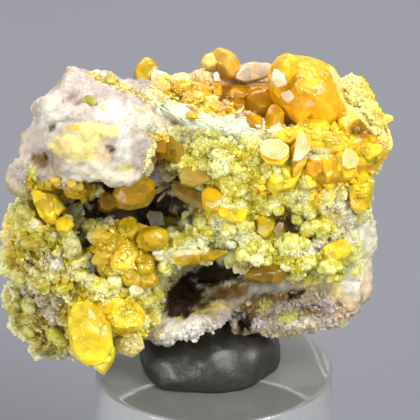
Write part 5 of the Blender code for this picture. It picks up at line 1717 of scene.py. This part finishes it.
def druse_finish(name, grains, relief, glow, tilt, contrast):
    """Stone whose colour comes from its points, mottled and grained; where it sparkles it is glossy and
    set with tiny tilted faces."""
    material, tree, shader = new_finish(name)
    place = object_place(tree)
    sparkle = attribute(tree, "sparkle")
    grain = tiny_grains(tree, place, grains)
    shade = spread(tree, mottling(tree, place, 1.6, 5.0, 0.62), 0.3, 0.7, 0.84, 1.14)
    speck = spread(tree, chance_of(tree, grain, 0), 0.0, 1.0, 1.0 - contrast, 1.0 + contrast)
    rise = number_math(tree, "SUBTRACT", mottling(tree, place, 5.0, 6.0, 0.7), grain.outputs["Distance"])
    bump = bumped(tree, rise, 0.6, relief)
    light = number_math(tree, "MULTIPLY", shade, speck)
    set_inputs(tree, shader, DRUSE_SURFACE | {
        "Base Color": vector_times(tree, attribute(tree, "tone", "Color"), light),
        "Roughness": spread(tree, sparkle, 0.0, 1.0, 0.72, 0.22),
        "Subsurface Weight": glow,
        "Normal": bump,
        "Coat Weight": glitter_weight(tree, grain, sparkle),
        "Coat Normal": glitter_normal(tree, grain, tilt, bump),
    })
    return material


def crystal_finish(name, glow, roughness):
    """Glassy, resinous crystal: part clear, part glowing from within, its tone and clearness from its
    points, clouded by noise, broken into facets that each have their own light and lean, and faintly
    stepped; where it sparkles it is set with tiny tilted faces."""
    material, tree, shader = new_finish(name)
    place = object_place(tree)
    sparkle = attribute(tree, "sparkle")
    faceted = attribute(tree, "facets")
    facet = tiny_grains(tree, place, 1.6)
    grain = tiny_grains(tree, place, 7.0)
    share = spread(tree, mottling(tree, place, 0.9, 4.0, 0.55), 0.36, 0.64, 0.0, 1.0)
    cloud = colour_mix(tree, share, CLOUD_DEEP, CLOUD_PALE)
    clouded = vector_math(tree, "MULTIPLY", attribute(tree, "tone", "Color"), cloud)
    uneven = spread(tree, chance_of(tree, facet, 0), 0.0, 1.0, -0.24, 0.18)
    light = number_math(tree, "ADD", number_math(tree, "MULTIPLY", faceted, uneven), 1.0)
    steps = bumped(tree, mottling(tree, place, 1.8, 3.0), 0.3, 0.12)
    normal = glitter_normal(tree, facet, number_math(tree, "MULTIPLY", faceted, 0.35), steps)
    frost = mottling(tree, place, 3.0, 4.0)
    set_inputs(tree, shader, CRYSTAL_SURFACE | {
        "Base Color": vector_times(tree, clouded, light),
        "Roughness": spread(tree, frost, 0.45, 0.7, roughness, roughness + 0.22),
        "Subsurface Weight": glow,
        "Transmission Weight": attribute(tree, "clearness"),
        "Normal": normal,
        "Coat Weight": glitter_weight(tree, grain, sparkle),
        "Coat Normal": glitter_normal(tree, grain, 0.8, normal),
    })
    return material


def tack_finish():
    """Dark kneaded putty: matte, mottled and finely pitted."""
    material, tree, shader = new_finish("mineral_putty")
    place = object_place(tree)
    mottle = mottling(tree, place, 0.5, 5.0)
    set_inputs(tree, shader, TACK_SURFACE | {
        "Base Color": colour_mix(tree, mottle, TACK_DARK, TACK_LIGHT),
        "Roughness": spread(tree, mottle, 0.3, 0.7, 0.24, 0.46),
        "Normal": bumped(tree, mottling(tree, place, 2.2, 6.0, 0.65), 0.5, 0.12),
    })
    return material


def acrylic_finish():
    """Clear cast acrylic with a faint haze of handling on its polish."""
    material, tree, shader = new_finish("clear_acrylic")
    haze = mottling(tree, object_place(tree), 0.3, 4.0)
    set_inputs(tree, shader, ROD_SURFACE | {"Roughness": spread(tree, haze, 0.4, 0.7, 0.03, 0.12)})
    return material


# The stage

FLOOR_HALF = 2500.0
# (name, place, width and height, power, colour)
LIGHTS = (
    ("key", (150, -120, 190), (120, 120), 0.56, (1.0, 0.98, 0.95)),
    ("overhead", (-20, 130, 230), (200, 160), 0.57, (1.0, 0.95, 0.95)),
    ("fill", (-170, -180, 40), (160, 160), 0.5, (1.0, 0.99, 0.96)),
)
SKY = {"Color": (1.0, 0.985, 0.95, 1.0), "Strength": 0.5}
# The nearest and the farthest that the camera shows
CAMERA_CLIP = (10.0, 5000.0)


def aimed(name, data, place):
    """An object at a place, turned towards what the view looks at."""
    obj = bpy.data.objects.new(name, data)
    obj.location = Vector(place) * MM
    obj.rotation_euler = (Vector(VIEW_TARGET) - Vector(place)).to_track_quat("-Z", "Y").to_euler()
    bpy.context.scene.collection.objects.link(obj)
    return obj


def make_floor():
    """A plain pale sheet, far wider than what the camera sees."""
    material, tree, shader = new_finish("floor_paper")
    set_inputs(tree, shader, FLOOR_SURFACE)
    mesh = bpy.data.meshes.new("floor")
    half = FLOOR_HALF * MM
    corners = [(-half, -half, 0), (half, -half, 0), (half, half, 0), (-half, half, 0)]
    mesh.from_pydata(corners, [], [(0, 1, 2, 3)])
    mesh.materials.append(material)
    floor = bpy.data.objects.new("floor", mesh)
    bpy.context.scene.collection.objects.link(floor)


def make_stage():
    """A plain pale floor, soft light from above and the right, a weak fill from the left, the camera."""
    scene = bpy.context.scene
    scene.view_settings.view_transform = "Standard"
    make_floor()
    for name, place, size, power, colour in LIGHTS:
        light = bpy.data.lights.new(name, "AREA")
        light.shape = "RECTANGLE"
        light.size, light.size_y = (side * MM for side in size)
        light.energy = power
        light.color = colour
        aimed(name, light, place)
    scene.world = bpy.data.worlds.new("studio")
    scene.world.use_nodes = True
    set_inputs(scene.world.node_tree, scene.world.node_tree.nodes["Background"], SKY)
    camera = bpy.data.cameras.new("camera")
    camera.sensor_width = SENSOR_WIDTH
    camera.lens = LENS
    camera.clip_start, camera.clip_end = (reach * MM for reach in CAMERA_CLIP)
    bpy.context.scene.camera = aimed("camera", camera, EYE)


def main():
    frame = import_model()
    make_stage()
    # Grains in a mm, relief in mm, glow from within, tilt of the tiny faces, contrast of the grains
    rock_finish = druse_finish("pale_rock_druse", 9.0, 0.04, 0.2, 0.85, 0.08)
    crust_finish = druse_finish("mimetite_druse", 8.0, 0.09, 0.5, 0.85, 0.2)
    grain_finish = druse_finish("mimetite_grains", 8.0, 0.06, 0.0, 0.85, 0.16)
    wulfenite = crystal_finish("wulfenite", 0.5, 0.1)
    young_wulfenite = crystal_finish("wulfenite_grains", 0.0, 0.12)
    parts = [make_rock(frame, rock_finish)]
    for side, seed, ball in (("right", 81, 1.15), ("left", 87, 0.85)):
        node = f"mimetite_crust_{side}"
        parts.append(make_crust(frame, node, f"mimetite_{side}", crust_finish, seed, ball))
    ground = ground_of(parts)
    top = ["wulfenite_top_cluster"]
    crystals = [make_crystals("top_crystals", TOP_STONES, wulfenite, top, 11)]
    for number, (name, (node, rows)) in enumerate(WALL_STONES.items()):
        crystals.append(make_crystals(name, rows, wulfenite, [node], 100 + 20 * number))
    hollow = ["hollow_crystals"]
    crystals.append(make_crystals("hollow_crystals_amber", HOLLOW_STONES, wulfenite, hollow, 400))
    crystals.append(make_crystals("yellow_cluster", CLUSTER_STONES, wulfenite, [], 500))
    make_crystals("clear_blades", CLEAR_STONES, wulfenite, [], 600)
    make_beds("small_wulfenite", CRYSTAL_BEDS, ground, young_wulfenite, 700)
    make_beds("small_mimetite", BALL_BEDS, ground, grain_finish, 800)
    make_beds("mimetite_sugar", SUGAR_BEDS, ground, grain_finish, 850)
    make_beds("wulfenite_sugar", CRYSTAL_SUGAR_BEDS, ground_of(crystals), young_wulfenite, 880)
    make_strewn("mimetite_behind", STREWN, ground, grain_finish, 950)
    make_balls("mimetite_balls", BALLS, ground, grain_finish, 900)
    make_crystals("right_gold", RIGHT_GOLD, wulfenite, [], 650)
    make_tack(tack_finish())
    make_rod(acrylic_finish())


main()
